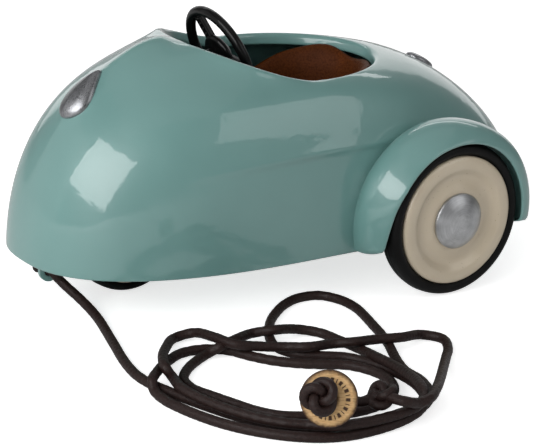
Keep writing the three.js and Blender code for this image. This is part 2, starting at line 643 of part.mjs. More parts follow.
// Each gear's first tooth, or gap, points at its neighbour so that the train is in mesh.
const toIdler = Math.atan2(IDLER[1] - REAR_Z, IDLER[0]);
const toDrum = Math.atan2(DRUM[1] - IDLER[1], DRUM[0] - IDLER[0]);
const [PINION, IDLER_WHEEL, DRUM_WHEEL] = [10, 22, 24];
add('axle_pinion', gearSolid(PINION, AXLE + 0.09, 0, REAR_Z, toIdler, -7.2, -4.2), 'gear');
const idlerWheel = gearSolid(IDLER_WHEEL, 0, ...IDLER, toIdler + Math.PI + Math.PI / IDLER_WHEEL, -7.2, -4.2);
const idlerPinion = gearSolid(PINION, 0, ...IDLER, toDrum, -4.4, -1.2);
add('idler_gear', cut(joined(idlerWheel, idlerPinion), barY(0.9, -20, 20, ...IDLER)), 'gear');
add('idler_pin', barY(0.82, HOUSE.right + 0.1, HOUSE.left - 0.1, ...IDLER, 16), 'steel');
const drumPhase = toDrum + Math.PI + Math.PI / DRUM_WHEEL;
add('spring_drum_gear', gearSolid(DRUM_WHEEL, AXLE + 0.09, ...DRUM, drumPhase, -3.8, -1.3), 'gear');
add('spring_arbor', barY(AXLE, HOUSE.right + 0.1, HOUSE.left - 0.1, ...DRUM), 'steel');

function mainspring() {
  const [turns, perTurn, inner, pitch, thick] = [4, 14, 2.3, 1.12, 0.35];
  const spiral = (grow) => Array.from({ length: turns * perTurn + 1 }, (_, i) => {
    const turn = (i / perTurn) * 2 * Math.PI;
    const radius = inner + (pitch * i) / perTurn + grow;
    return new THREE.Vector2(radius * Math.cos(turn), radius * Math.sin(turn));
  });
  const shape = new THREE.Shape([...spiral(0), ...spiral(thick).reverse()]);
  return plateY(shape, 0.6, 5).translate(DRUM[0], 0, DRUM[1]);
}
add('mainspring', mainspring(), 'steel');

// ---------------------------------------------------------------- pull cord
// Where the cord runs: [x, y] where it would lie if the ground were clear, or [x, y, height above
// the ground] where it's held up. A stretch that climbs over others also leans towards +X +Y.
const BUTTON = new THREE.Vector3(105, 131, GROUND + 14);
const BUTTON_AXIS = new THREE.Vector3(0.55, 0.77, 0.33).normalize();
const CORD_LEAN = [1.66, 2.34];
const CORD_PATH = [
  [118.6, -5, 10.4], [118.6, 1.6, 10.4], [116, 4, 7], [113.5, 11, 3.5], [114, 22], [120, 41], [126, 60],
  [127.5, 71], [125.5, 82], [121, 97.5], [115.5, 110], [106.5, 120.5], [95.5, 127], [81.5, 128.5],
  [70, 126.5], [61.5, 121.5], [55.5, 111.5], [55, 102.5], [52, 93.5], [46, 81], [41.5, 68], [37, 49],
  [40.5, 39], [50, 37.5], [64, 46], [73.5, 57], [78.5, 68], [75.5, 76.5], [64.5, 84.5], [59, 96.5],
  [58, 109], [62, 119.5], [72.5, 128], [90, 132], [103, 130], [113.5, 123], [123, 110.5], [128.5, 95],
  [129.5, 82.5], [125, 72.5], [114.5, 63], [103.5, 58.5], [93.5, 63], [87.5, 74], [78.5, 83], [66.5, 91],
  [63, 102.5], [67, 112], [80, 119], [95.5, 117], [108, 110], [114, 97], [117, 87.5], [118.5, 80],
  [112, 70.5], [100, 63], [83.5, 56], [70.5, 55.5], [61, 62.5], [57.5, 77], [55, 94.5], [56.5, 109],
  [65, 120.5], [80, 124.5], [96, 122.5], [109.5, 113], [118, 95], [119.5, 79.5], [115.5, 65.5],
  [109.5, 54.5], [100, 47], [92, 47.5], [87, 60], [71.5, 70.5], [57, 74], [39.5, 78.5], [29, 83],
  [31, 91.5], [42.5, 103.5], [54.5, 113.5], [63.5, 119.5], [79.5, 135, 9.5], [83.5, 133, 10],
  [85, 127.5, 9.5], [89.5, 126, 8],
];
const CORD_STEPS = 160;

// Lays the cord down from its start: where it meets an earlier stretch it climbs over it.
function cordCurve() {
  const lean = (x, y, rise) => new THREE.Vector2(x + CORD_LEAN[0] * rise, y + CORD_LEAN[1] * rise);
  const buttonEnds = [-7, -3, 0, 3.4].map((along) => BUTTON.clone().addScaledVector(BUTTON_AXIS, along));
  const held = buttonEnds.map(({ x, y, z }) => [x, y, z - GROUND]);
  const plan = new THREE.CatmullRomCurve3([...CORD_PATH, ...held].map(([x, y, height = CORD]) => {
    const foot = lean(x, y, CORD - height);
    return new THREE.Vector3(foot.x, foot.y, height);
  }), false, 'centripetal');
  const samples = 600;
  const flat = plan.getSpacedPoints(samples);
  const step = plan.getLength() / samples;
  const heights = flat.map((spot) => spot.z);
  const place = (i) => {
    const { x, y } = lean(flat[i].x, flat[i].y, heights[i] - CORD);
    return new THREE.Vector3(x, y, GROUND + heights[i]);
  };
  const apart = 2 * CORD + 0.35;
  const climb = 0.32;
  const free = Math.ceil(16 / step);
  const last = samples - Math.ceil(30 / step);
  for (let j = free; j < 2 * last; j += 1) {
    const at = Math.max(free, j % last);
    const earlier = flat.slice(0, at - free).map((_, i) => place(i));
    const before = heights[at];
    while (earlier.some((spot) => spot.distanceTo(place(at)) < apart) && heights[at] < before + 12) {
      heights[at] += 0.15;
    }
    for (let k = 0; k < last && heights[at] > before; k += 1) {
      heights[k] = Math.max(heights[k], heights[at] - climb * step * Math.abs(k - at));
    }
  }
  const kept = flat.map((_, i) => place(i)).filter((_, i) => i % 4 === 0);
  return new THREE.CatmullRomCurve3(kept, false, 'centripetal');
}

function disc(radius, sides) {
  const shape = new THREE.Shape();
  const corners = Array.from({ length: sides }, (_, i) => {
    return new THREE.Vector2(radius * Math.cos(angleOf(i, sides)), radius * Math.sin(angleOf(i, sides)));
  });
  return shape.setFromPoints(corners);
}

function knot(radius, tube, place, axis) {
  const geometry = new THREE.TorusKnotGeometry(radius, tube, 26, 4, 2, 3);
  const turn = new THREE.Quaternion().setFromUnitVectors(new THREE.Vector3(0, 0, 1), axis);
  return geometry.applyQuaternion(turn).translate(place.x, place.y, place.z);
}

function pullCord() {
  const options = { steps: CORD_STEPS, extrudePath: cordCurve(), bevelEnabled: false };
  const tube = new THREE.ExtrudeGeometry(disc(CORD, 5), options);
  const start = knot(1.9, 0.9, new THREE.Vector3(EYE[0], -5.2, EYE[2]), new THREE.Vector3(0, 1, 0));
  const front = new THREE.Vector3(2.2, -1.4, 0.8).add(BUTTON).addScaledVector(BUTTON_AXIS, 4.4);
  const end = knot(2.7, 1.25, front, BUTTON_AXIS);
  const stop = knot(2.2, 1.2, new THREE.Vector3(84, 127.5, GROUND + 9.5), new THREE.Vector3(0.6, 0, 0.8));
  return joined(tube, start, end, stop);
}
add('pull_cord', pullCord(), 'cord');

const button = turned([[2.1, -1.2], [7.4, -1.3], [8, -0.7], [8, 0.7], [7.4, 1.3], [2.1, 1.2], [2.1, -1.2]], 0, 0, 0, 22);
const buttonMesh = add('cord_button', button, 'wood');
buttonMesh.quaternion.setFromUnitVectors(new THREE.Vector3(0, 1, 0), BUTTON_AXIS);
buttonMesh.position.copy(BUTTON);

const group = new THREE.Group();
meshes.forEach((mesh) => group.add(mesh));
export default group;
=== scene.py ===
"""A pressed-metal toy car with a pull cord: its looks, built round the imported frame.

Shapes are worked out in millimetres, +X to the nose, +Y to the driver's left, +Z up, and turned into
metres when a mesh is made. The origin is on the floor pan's underside, below the rear axle.
"""
import math

import bmesh
import bpy
import numpy as np
from mathutils import Matrix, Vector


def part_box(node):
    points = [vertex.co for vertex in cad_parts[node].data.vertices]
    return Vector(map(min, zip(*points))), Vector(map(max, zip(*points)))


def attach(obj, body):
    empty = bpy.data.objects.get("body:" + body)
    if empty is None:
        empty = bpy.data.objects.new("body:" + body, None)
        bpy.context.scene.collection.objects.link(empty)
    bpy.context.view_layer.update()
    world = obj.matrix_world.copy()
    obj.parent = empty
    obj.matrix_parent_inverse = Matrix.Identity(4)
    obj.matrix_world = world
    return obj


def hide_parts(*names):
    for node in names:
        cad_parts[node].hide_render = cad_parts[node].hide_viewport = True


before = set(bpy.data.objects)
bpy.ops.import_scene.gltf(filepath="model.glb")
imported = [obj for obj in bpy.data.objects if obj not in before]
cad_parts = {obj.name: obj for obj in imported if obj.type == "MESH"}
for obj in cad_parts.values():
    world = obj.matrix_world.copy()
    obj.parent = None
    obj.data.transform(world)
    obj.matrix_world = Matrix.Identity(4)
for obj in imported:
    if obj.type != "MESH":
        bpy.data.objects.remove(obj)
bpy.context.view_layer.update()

# ---------------------------------------- dimensions
MM = 0.001
GROUND = -17.0
SHEET = 1.2
AXLE = 1.5
BORE = AXLE + 0.09

BODY_MID = 45.0
BODY_NOSE = 83.5
BODY_TAIL = 102.8
BODY_HALF = 41.0
SKIRT_Z = GROUND + 15.6

RIM_MID = 39.6
RIM_NOSE = 36.4
RIM_TAIL = 40.1
RIM_HALF = 29.6
RIM_Z = GROUND + 70.0
COWL_RISE = 10.8
LIP_RADIUS = 2.0
LIP_END = -0.42 * math.pi
LIP_DROP = 1.5

STEER_TILT = math.radians(23)
STEER_CENTRE = np.array([57.5, 0.0, GROUND + 73.6])
STEER_OUTER = 17.0
STEER_TUBE = 1.65
STEER_TURN = math.radians(-25)

SEAT_MID = 31.0
CORD = 1.5

CAMERA_PLACE = np.array([488.2, 636.4, 268.1])
CAMERA_TURN = (54.61, 19.19, 3.0)      # heading, elevation and roll in degrees
CAMERA_LENS = 168.7
LIGHT_TARGET = np.array([0.045, 0, 0.025])
BACKDROP = (-0.574, -0.819, 0.0)       # the direction of the pale backdrop, away from the camera


def middle(node):
    """Centre of a CAD node's box, in millimetres."""
    low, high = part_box(node)
    return (np.array(low) + np.array(high)) / 2 / MM


def reach(node, axis):
    """Half of a CAD node's size along an axis, in millimetres."""
    low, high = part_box(node)
    return (high[axis] - low[axis]) / 2 / MM


# ---------------------------------------- small maths
def smooth(value, low, high):
    t = np.clip((np.asarray(value, float) - low) / (high - low), 0, 1)
    return t * t * (3 - 2 * t)


def signed_power(value, power):
    return np.sign(value) * np.abs(value) ** power


def mix(a, b, t):
    return a + (b - a) * t


def bezier(p, t):
    s = 1 - t
    return s**3 * p[0] + 3 * s * s * t * p[1] + 3 * s * t * t * p[2] + t**3 * p[3]


def bezier_slope(p, t):
    s = 1 - t
    return 3 * (s * s * (p[1] - p[0]) + 2 * s * t * (p[2] - p[1]) + t * t * (p[3] - p[2]))


def unit(vector):
    vector = np.asarray(vector, float)
    return vector / np.linalg.norm(vector)


def along_spline(points, count):
    """Centripetal Catmull-Rom curve through points, sampled at count + 1 even steps."""
    p = np.asarray(points, float)
    p = np.vstack([2 * p[0] - p[1], p, 2 * p[-1] - p[-2]])
    dense = []
    for i in range(1, len(p) - 2):
        a, b, c, d = p[i - 1 : i + 3]
        ab, bc, cd = (max(np.linalg.norm(v) ** 0.5, 1e-4) for v in (b - a, c - b, d - c))
        start = ((b - a) / ab - (c - a) / (ab + bc) + (c - b) / bc) * bc
        end = ((c - b) / bc - (d - b) / (bc + cd) + (d - c) / cd) * bc
        for t in np.linspace(0, 1, 12, endpoint=False):
            held = (2 * t**3 - 3 * t**2 + 1) * b + (t**3 - 2 * t**2 + t) * start
            dense.append(held + (-2 * t**3 + 3 * t**2) * c + (t**3 - t**2) * end)
    dense = np.array(dense + [p[-2]])
    return even_steps(dense, count)


def even_steps(points, count):
    """The same path at count + 1 evenly spaced points."""
    length = np.r_[0, np.cumsum(np.linalg.norm(np.diff(points, axis=0), axis=1))]
    wanted = np.linspace(0, length[-1], count + 1)
    return np.stack([np.interp(wanted, length, points[:, k]) for k in range(points.shape[1])], 1)


# ---------------------------------------- meshes
def grid_faces(rows, columns, close_rows):
    """Quads over rows x columns points whose columns always close, and whose rows may."""
    faces = []
    for i in range(rows if close_rows else rows - 1):
        for j in range(columns):
            a, b = i * columns + j, i * columns + (j + 1) % columns
            c, d = ((i + 1) % rows) * columns + (j + 1) % columns, ((i + 1) % rows) * columns + j
            faces.append((a, b, c, d))
    return faces


class Shape:
    """Closed skins gathered in one mesh."""

    def __init__(self):
        self.points = []
        self.faces = []

    def skin(self, grid, close_rows=False, caps=True):
        """Adds a grid of rows x columns x 3 points. Open ends are capped by a fan."""
        grid = np.asarray(grid, float)
        rows, columns = grid.shape[:2]
        start = len(self.points)
        self.points.extend(grid.reshape(-1, 3).tolist())
        self.faces.extend(tuple(start + k for k in f) for f in grid_faces(rows, columns, close_rows))
        if not close_rows and caps:
            for row, flip in ((0, True), (rows - 1, False)):
                centre = len(self.points)
                self.points.append(grid[row].mean(0).tolist())
                ring = [start + row * columns + j for j in range(columns)]
                for j in range(columns):
                    pair = (ring[j], ring[(j + 1) % columns])
                    self.faces.append((centre, *(pair if not flip else pair[::-1])))
        return self

    def turned(self, profile, sides, place):
        """Adds a piece turned about local Y. profile holds [radius, y] and ends on the axis or closes."""
        turns = np.arange(sides) / sides * 2 * math.pi
        rings = [[[r * math.cos(a), y, r * math.sin(a)] for a in turns] for r, y in profile]
        closed = np.allclose(profile[0], profile[-1])
        rings = np.array(rings[:-1] if closed else rings)
        return self.skin(moved(rings, place), close_rows=closed, caps=False)

    def to_object(self, name, material, body, slot, *replaced, sharp=50):
        mesh = bpy.data.meshes.new(name)
        mesh.from_pydata((np.array(self.points) * MM).tolist(), [], self.faces)
        work = bmesh.new()
        work.from_mesh(mesh)
        bmesh.ops.remove_doubles(work, verts=work.verts, dist=1e-7)
        bmesh.ops.dissolve_degenerate(work, dist=1e-8, edges=work.edges)
        bmesh.ops.recalc_face_normals(work, faces=work.faces)
        work.to_mesh(mesh)
        work.free()
        mesh.polygons.foreach_set("use_smooth", [True] * len(mesh.polygons))
        mesh.set_sharp_from_angle(angle=math.radians(sharp))
        obj = bpy.data.objects.new(name, mesh)
        bpy.context.scene.collection.objects.link(obj)
        mesh.materials.append(material)
        if body:
            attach(obj, body)
        if replaced:
            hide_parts(*replaced)
        return obj


def moved(points, place):
    points = np.asarray(points, float)
    place = np.asarray(place, float)
    return points @ place[:3, :3].T + place[:3, 3]


def placing(origin, x_axis, y_axis, z_axis):
    """4 x 4 matrix with these columns."""
    place = np.eye(4)
    place[:3, :3] = np.stack([x_axis, y_axis, z_axis], 1)
    place[:3, 3] = origin
    return place


def facing(origin, axis):
    """Placing whose local Y points along axis."""
    y = unit(axis)
    x = unit(np.cross(y, [0, 0, 1] if abs(y[2]) < 0.9 else [1, 0, 0]))
    return placing(origin, x, y, np.cross(x, y))


def rounded(profile, step):
    """A profile of [radius, y] corners resampled as one smooth curve."""
    profile = np.array(profile, float)
    length = np.linalg.norm(np.diff(profile, axis=0), axis=1).sum()
    return along_spline(profile, max(4, int(length / step)))


def tube(shape, path, radius, around=16, closed=False, texture=None):
    """Adds a tube along a path. texture(turn, distance) gives extra radius at each point."""
    path = np.asarray(path, float)
    ahead = np.roll(path, -1, 0) - np.roll(path, 1, 0) if closed else np.gradient(path, axis=0)
    ahead /= np.linalg.norm(ahead, axis=1)[:, None]
    side = unit(np.cross(ahead[0], [0.31, 0.2, 0.93]))
    sides = []
    for direction in ahead:
        side = unit(side - direction * (side @ direction))
        sides.append(side)
    sides = np.array(sides)
    ups = np.cross(ahead, sides)
    distance = np.r_[0, np.cumsum(np.linalg.norm(np.diff(path, axis=0), axis=1))]
    turns = np.arange(around) / around * 2 * math.pi
    radii = np.full((len(path), around), float(radius))
    if closed:
        last = unit(sides[-1] - ahead[0] * (sides[-1] @ ahead[0]))
        twist = math.atan2(last @ ups[0], last @ sides[0])
        spin = -twist * np.linspace(0, 1, len(path))[:, None]
    else:
        spin = np.zeros((len(path), 1))
    if texture:
        radii += texture(turns[None, :], distance[:, None])
    angle = turns[None, :] + spin
    ring = np.cos(angle)[..., None] * sides[:, None] + np.sin(angle)[..., None] * ups[:, None]
    grid = path[:, None] + radii[..., None] * ring
    if not closed:
        grid = np.concatenate([round_end(grid[0], path[0], -ahead[0], radius)[::-1], grid,
                               round_end(grid[-1], path[-1], ahead[-1], radius)])
    return shape.skin(grid, close_rows=closed)


def round_end(ring, centre, outwards, radius):
    """Rings that close the end of a tube like a blunt dome."""
    steps = np.linspace(0, 1, 4)[1:] * math.pi / 2.2
    return np.array([centre + (ring - centre) * math.cos(a) + outwards * radius * 0.6 * math.sin(a)
                     for a in steps])


# ---------------------------------------- materials
class Paint:
    """One procedural material, with short ways to add its nodes."""

    def __init__(self, name, **base):
        self.material = bpy.data.materials.new(name)
        self.material.use_nodes = True
        self.tree = self.material.node_tree
        self.shader = self.tree.nodes["Principled BSDF"]
        self.set(**base)
        place = self.add("ShaderNodeTexCoord")
        self.mm = self.vector("MULTIPLY", place.outputs["Object"], (1000, 1000, 1000))

    def feed(self, socket, value):
        if isinstance(value, bpy.types.NodeSocket):
            self.tree.links.new(value, socket)
        else:
            socket.default_value = value

    def set(self, **inputs):
        for key, value in inputs.items():
            self.feed(self.shader.inputs[key.replace("_", " ")], value)

    def add(self, kind, settings=(), **inputs):
        node = self.tree.nodes.new(kind)
        for key, value in dict(settings).items():
            setattr(node, key, value)
        for key, value in inputs.items():
            self.feed(node.inputs[key.replace("_", " ")], value)
        return node

    def operate(self, kind, operation, values):
        """Adds a maths node, fed with values in order, and returns its outputs."""
        node = self.add(kind, {"operation": operation})
        for socket, value in zip(node.inputs, values):
            self.feed(socket, value)
        return node.outputs

    def maths(self, operation, *values):
        return self.operate("ShaderNodeMath", operation, values)[0]

    def vector(self, operation, *values):
        return self.operate("ShaderNodeVectorMath", operation, values)[0]

    def dot(self, a, b):
        return self.operate("ShaderNodeVectorMath", "DOT_PRODUCT", (a, b))["Value"]

    def length(self, a):
        return self.operate("ShaderNodeVectorMath", "LENGTH", (a,))["Value"]

    def noise(self, scale, detail=3, vector=None, roughness=0.55):
        node = self.add("ShaderNodeTexNoise", Vector=vector or self.mm, Scale=scale, Detail=detail,
                        Roughness=roughness)
        return node.outputs["Fac"]

    def cells(self, scale, feature="F1", vector=None):
        node = self.add("ShaderNodeTexVoronoi", {"feature": feature}, Vector=vector or self.mm, Scale=scale)
        return node.outputs["Distance"]

    def ramp(self, value, *stops):
        """Colours or greys by value: each stop is (place, grey or colour)."""
        node = self.add("ShaderNodeValToRGB", Fac=value)
        points = node.color_ramp.elements
        while len(points) < len(stops):
            points.new(0.5)
        for point, (place, colour) in zip(points, stops):
            point.position = place
            point.color = (*colour, 1) if isinstance(colour, tuple) else (colour, colour, colour, 1)
        return node.outputs["Color"]

    def blend(self, factor, a, b):
        node = self.add("ShaderNodeMix", {"data_type": "RGBA"})
        self.feed(node.inputs["Factor"], factor)
        self.feed(node.inputs[6], a)
        self.feed(node.inputs[7], b)
        return node.outputs[2]

    def bump(self, *layers):
        """Each layer is (height, depth in millimetres)."""
        normal = None
        for height, depth in layers:
            node = self.add("ShaderNodeBump", Height=height, Distance=depth * MM, Strength=1.0)
            if normal:
                self.feed(node.inputs["Normal"], normal)
            normal = node.outputs["Normal"]
        return normal


def linear(level):
    """A screen level, 0 to 255, as the linear value a shader takes."""
    if level <= 10:
        return level / 255 / 12.92
    return ((level / 255 + 0.055) / 1.055) ** 2.4


def rgb(red, green, blue):
    return linear(red), linear(green), linear(blue)


def gloss_paint():
    """Sprayed gloss enamel: a faint orange peel, slow colour drift and a few fine specks."""
    m = Paint("teal_gloss_paint", Roughness=0.38, Coat_Weight=1.0, Coat_IOR=1.5)
    drift = m.ramp(m.noise(0.035, 2), (0.3, rgb(103, 144, 140)), (0.7, rgb(109, 150, 146)))
    specks = m.ramp(m.noise(1.4, 2), (0.74, 0.0), (0.8, 1.0))
    m.set(Base_Color=m.blend(specks, drift, (*rgb(98, 140, 136), 1)))
    m.set(Coat_Roughness=m.ramp(m.noise(0.15, 3), (0.3, 0.03), (0.7, 0.07)))
    peel = m.bump((m.noise(0.1, 2), 0.13), (m.noise(0.55, 1), 0.016), (m.noise(1.3, 1), 0.005))
    m.set(Coat_Normal=peel, Normal=peel)
    return m.material


def cream_enamel():
    m = Paint("cream_enamel", Roughness=0.42, Coat_Weight=0.55, Coat_Roughness=0.16)
    drift = m.ramp(m.noise(0.08, 3), (0.3, rgb(194, 180, 157)), (0.7, rgb(201, 188, 166)))
    specks = m.ramp(m.noise(1.7, 1), (0.73, 0.0), (0.77, 1.0))
    m.set(Base_Color=m.blend(specks, drift, (*rgb(158, 142, 115), 1)))
    m.set(Normal=m.bump((m.noise(0.35, 2), 0.03)))
    return m.material


def tyre_rubber():
    m = Paint("tyre_rubber", Specular_IOR_Level=0.14)
    m.set(Base_Color=m.ramp(m.noise(0.2, 3), (0.35, 0.003), (0.7, 0.005)))
    m.set(Roughness=m.ramp(m.noise(0.4, 4), (0.3, 0.42), (0.75, 0.6)))
    m.set(Normal=m.bump((m.noise(3.5, 3), 0.02)))
    return m.material


def black_enamel():
    m = Paint("black_enamel", Roughness=0.4, Specular_IOR_Level=0.08, Coat_Weight=0.3, Coat_Roughness=0.07)
    m.set(Base_Color=m.ramp(m.noise(0.3, 2), (0.3, 0.002), (0.7, 0.004)))
    m.set(Normal=m.bump((m.noise(0.9, 2), 0.03)))
    return m.material


def leather():
    """Brown leather: pebble grain, with painted shade that darkens the valleys between the pebbles."""
    m = Paint("brown_leather", Specular_IOR_Level=0.08)
    pebbles = m.cells(1.9, "SMOOTH_F1")
    fine = m.noise(4.0, 3)
    tone = m.ramp(m.noise(0.12, 3), (0.3, rgb(76, 37, 9)), (0.7, rgb(91, 45, 12)))
    # painted shade: the colour darkens towards the grain's valleys, where the pebbles would shade them
    painted_valley_shade = m.ramp(pebbles, (0.25, 0.0), (0.75, 0.75))
    m.set(Base_Color=m.blend(painted_valley_shade, tone, (*rgb(56, 24, 6), 1)))
    m.set(Roughness=m.ramp(pebbles, (0.2, 0.42), (0.8, 0.68)))
    height = m.maths("SUBTRACT", 1.0, pebbles)
    m.set(Normal=m.bump((height, 0.1), (fine, 0.03)))
    return m.material


def silver(name, tones, polish, centre=None):
    """Silver trim with fine brushing: round a centre it follows circles, otherwise it runs up and down."""
    m = Paint(name, Metallic=1.0)
    if centre is None:
        lines = m.vector("MULTIPLY", m.mm, (2.2, 4.5, 0.35))
        streaks = m.noise(1.0, 3, lines)
    else:
        spot = m.vector("SUBTRACT", m.mm, tuple(centre))
        flat = m.vector("MULTIPLY", spot, (1, 0, 1))
        away = m.length(flat)
        split = m.add("ShaderNodeSeparateXYZ", Vector=spot)
        turn = m.maths("ARCTAN2", split.outputs["Z"], split.outputs["X"])
        outwards = m.maths("MULTIPLY", away, 4.5)
        around = m.maths("MULTIPLY", turn, 1.3)
        swirl = m.add("ShaderNodeCombineXYZ", X=outwards, Y=around)
        streaks = m.noise(1.0, 4, swirl.outputs[0])
    cloud = m.noise(0.22, 3)
    tone = m.maths("ADD", m.maths("MULTIPLY", streaks, 0.5), m.maths("MULTIPLY", cloud, 0.5))
    m.set(Base_Color=m.ramp(tone, (0.32, rgb(*tones[0])), (0.68, rgb(*tones[1]))))
    m.set(Roughness=m.ramp(streaks, (0.3, polish), (0.7, polish * 1.5)))
    m.set(Normal=m.bump((streaks, 0.035)))
    return m.material


def metal(name, low, high, roughness):
    """Plated steel or brass with a soft spangle."""
    m = Paint(name, Metallic=1.0)
    spangle = m.cells(0.35)
    m.set(Base_Color=m.ramp(m.maths("MULTIPLY", spangle, m.noise(0.5, 3)), (0.1, low), (0.6, high)))
    m.set(Roughness=m.ramp(m.noise(1.2, 3), (0.3, roughness - 0.08), (0.7, roughness + 0.08)))
    m.set(Normal=m.bump((m.noise(2.5, 2), 0.012)))
    return m.material


def moulded(name, low, high):
    """Moulded plastic with a fine spark-eroded texture."""
    m = Paint(name, Roughness=0.5, Subsurface_Weight=0.05)
    m.set(Subsurface_Radius=(0.001, 0.0008, 0.0006))
    m.set(Base_Color=m.ramp(m.noise(0.15, 3), (0.35, low), (0.7, high)))
    m.set(Normal=m.bump((m.noise(3.0, 3), 0.015)))
    return m.material


def cord_braid():
    """Waxed brown braid: the strands are in the mesh, and the fibres and wax are here."""
    m = Paint("waxed_cord", Specular_IOR_Level=0.25)
    fibres = m.noise(3.2, 4)
    m.set(Base_Color=m.ramp(fibres, (0.32, rgb(24, 14, 13)), (0.6, rgb(42, 27, 24)), (0.8, rgb(70, 50, 44))))
    m.set(Roughness=m.ramp(m.noise(0.9, 3), (0.3, 0.42), (0.7, 0.62)))
    m.set(Normal=m.bump((fibres, 0.07)))
    return m.material


BUTTON_MARKS = 13


def turned_wood(place):
    """Pale turned wood, scorched at its edges, with a ring of burnt dashes and dots as plain decoration."""
    m = Paint("turned_wood", Specular_IOR_Level=0.35, Roughness=0.6)
    back = np.linalg.inv(place)
    spot = m.vector("SUBTRACT", m.mm, tuple(place[:3, 3]))
    x = m.dot(spot, tuple(back[0, :3]))
    z = m.dot(spot, tuple(back[2, :3]))
    away = m.maths("POWER", m.maths("ADD", m.maths("MULTIPLY", x, x), m.maths("MULTIPLY", z, z)), 0.5)
    turn = m.maths("ARCTAN2", z, x)
    long_way = m.add("ShaderNodeCombineXYZ", X=m.maths("MULTIPLY", x, 0.35), Y=m.maths("MULTIPLY", z, 2.6))
    grain = m.noise(1.0, 4, long_way.outputs[0])
    wood = m.ramp(grain, (0.3, rgb(172, 132, 84)), (0.5, rgb(201, 163, 113)), (0.72, rgb(214, 181, 134)))
    wander = m.maths("ADD", away, m.maths("MULTIPLY", m.noise(0.9, 3), 1.4))
    edge = m.ramp(m.maths("MULTIPLY", wander, 0.1), (0.74, 0.0), (0.86, 1.0))
    centre = m.ramp(m.maths("MULTIPLY", wander, 0.1), (0.3, 0.8), (0.4, 0.0))
    step = m.maths("FRACT", m.maths("ADD", m.maths("MULTIPLY", turn, BUTTON_MARKS / (2 * math.pi)), 20.0))
    from_middle = m.maths("ABSOLUTE", m.maths("SUBTRACT", step, 0.5))
    dash = m.ramp(from_middle, (0.14, 1.0), (0.2, 0.0), (0.44, 0.0), (0.47, 1.0))
    band = m.ramp(m.maths("ABSOLUTE", m.maths("SUBTRACT", away, 5.3)), (0.5, 1.0), (0.75, 0.0))
    marks = m.maths("MULTIPLY", dash, band)
    burnt = m.maths("MAXIMUM", m.maths("MAXIMUM", edge, marks), centre)
    m.set(Base_Color=m.blend(burnt, wood, (*rgb(62, 38, 20), 1)))
    sunk = m.maths("SUBTRACT", 1.0, marks)
    m.set(Normal=m.bump((grain, 0.06), (sunk, 0.18)))
    return m.material


def pale_floor():
    """A white sweep that the camera sees a little brighter than the car does."""
    m = Paint("pale_floor", Roughness=0.9, Specular_IOR_Level=0.1)
    m.set(Base_Color=m.ramp(m.noise(0.004, 2), (0.3, 0.86), (0.7, 0.9)))
    seen = m.add("ShaderNodeLightPath").outputs["Is Camera Ray"]
    m.set(Emission_Color=(1, 1, 1, 1), Emission_Strength=m.maths("MULTIPLY", seen, 0.68))
    return m.material


# ---------------------------------------- body
WALL = {
    "nose": {"lift": 0.558, "reach": 0.53, "slope": -1},
    "corner": {"lift": 0.24, "reach": -0.31, "slope": 30},
    "door": {"lift": 0.71, "reach": 0.56, "slope": 19},
    "tail": {"lift": 0.415, "reach": 0.445, "slope": 5.4},
}
LAMP_ROWS = (0.465, 0.675)
LAMP_HALF = 4.9
TAIL_ROWS = (0.65, 0.77)
TAIL_HALF = 4.3


def skirt_point(angle):
    """The body's outline in plan at the skirt, blunter than an ellipse."""
    c = np.cos(angle)
    power = np.where(c > 0, 2 / 2.5, 2 / 2.85)
    length = np.where(c > 0, BODY_NOSE, BODY_TAIL)
    return BODY_MID + length * signed_power(c, power), BODY_HALF * signed_power(np.sin(angle), power)


def rim_point(angle):
    """The cockpit's rim, which rises to the cowl."""
    c = np.cos(angle)
    power = np.where(c > 0, 2 / 2.4, 1)
    forward = signed_power(c, power)
    x = RIM_MID + np.where(c > 0, RIM_NOSE, RIM_TAIL) * forward
    y = RIM_HALF * signed_power(np.sin(angle), power)
    return x, y, RIM_Z + COWL_RISE * np.maximum(0, forward) ** 1.55


def wall_shape(angle, key):
    """One of WALL's values, mixed by how far the angle faces each place."""
    c = np.cos(angle)
    s = np.sin(angle)
    front = np.maximum(0, c)
    weight = {"nose": front**2, "corner": 2 * front * abs(s), "door": s * s, "tail": np.maximum(0, -c) ** 2}
    return sum(weight[place] * WALL[place][key] for place in WALL)


def spine_height(x, y):
    """The low ridge on the centre line, ahead of the cowl."""
    return 1.3 * smooth(x, 75, 81) * (1 - smooth(x, 84, 104)) * np.exp(-((y / 4.5) ** 2))


def flank_swage(x, z):
    """The pressed line along each flank: the metal above it stands about a millimetre proud."""
    line = 32.3 - 3.3 * (np.maximum(0, x - 27) / 57.5) ** 2
    strength = 1.35 * (1 - smooth(x, 60, 98)) * smooth(x, -6, 10)
    above = z - line
    return strength * smooth(above, -0.9, 0.5) * np.exp(-np.maximum(0, above) / 6)


def lamp_boss(y, t):
    """The low step in the nose that the headlamp cover sits on."""
    rise = (t - np.mean(LAMP_ROWS)) / (0.5 * (LAMP_ROWS[1] - LAMP_ROWS[0]) + 0.035)
    away = np.hypot(y / (LAMP_HALF + 2.6), rise)
    return 0.2 * (1 - smooth(away, 0.78, 1.05))


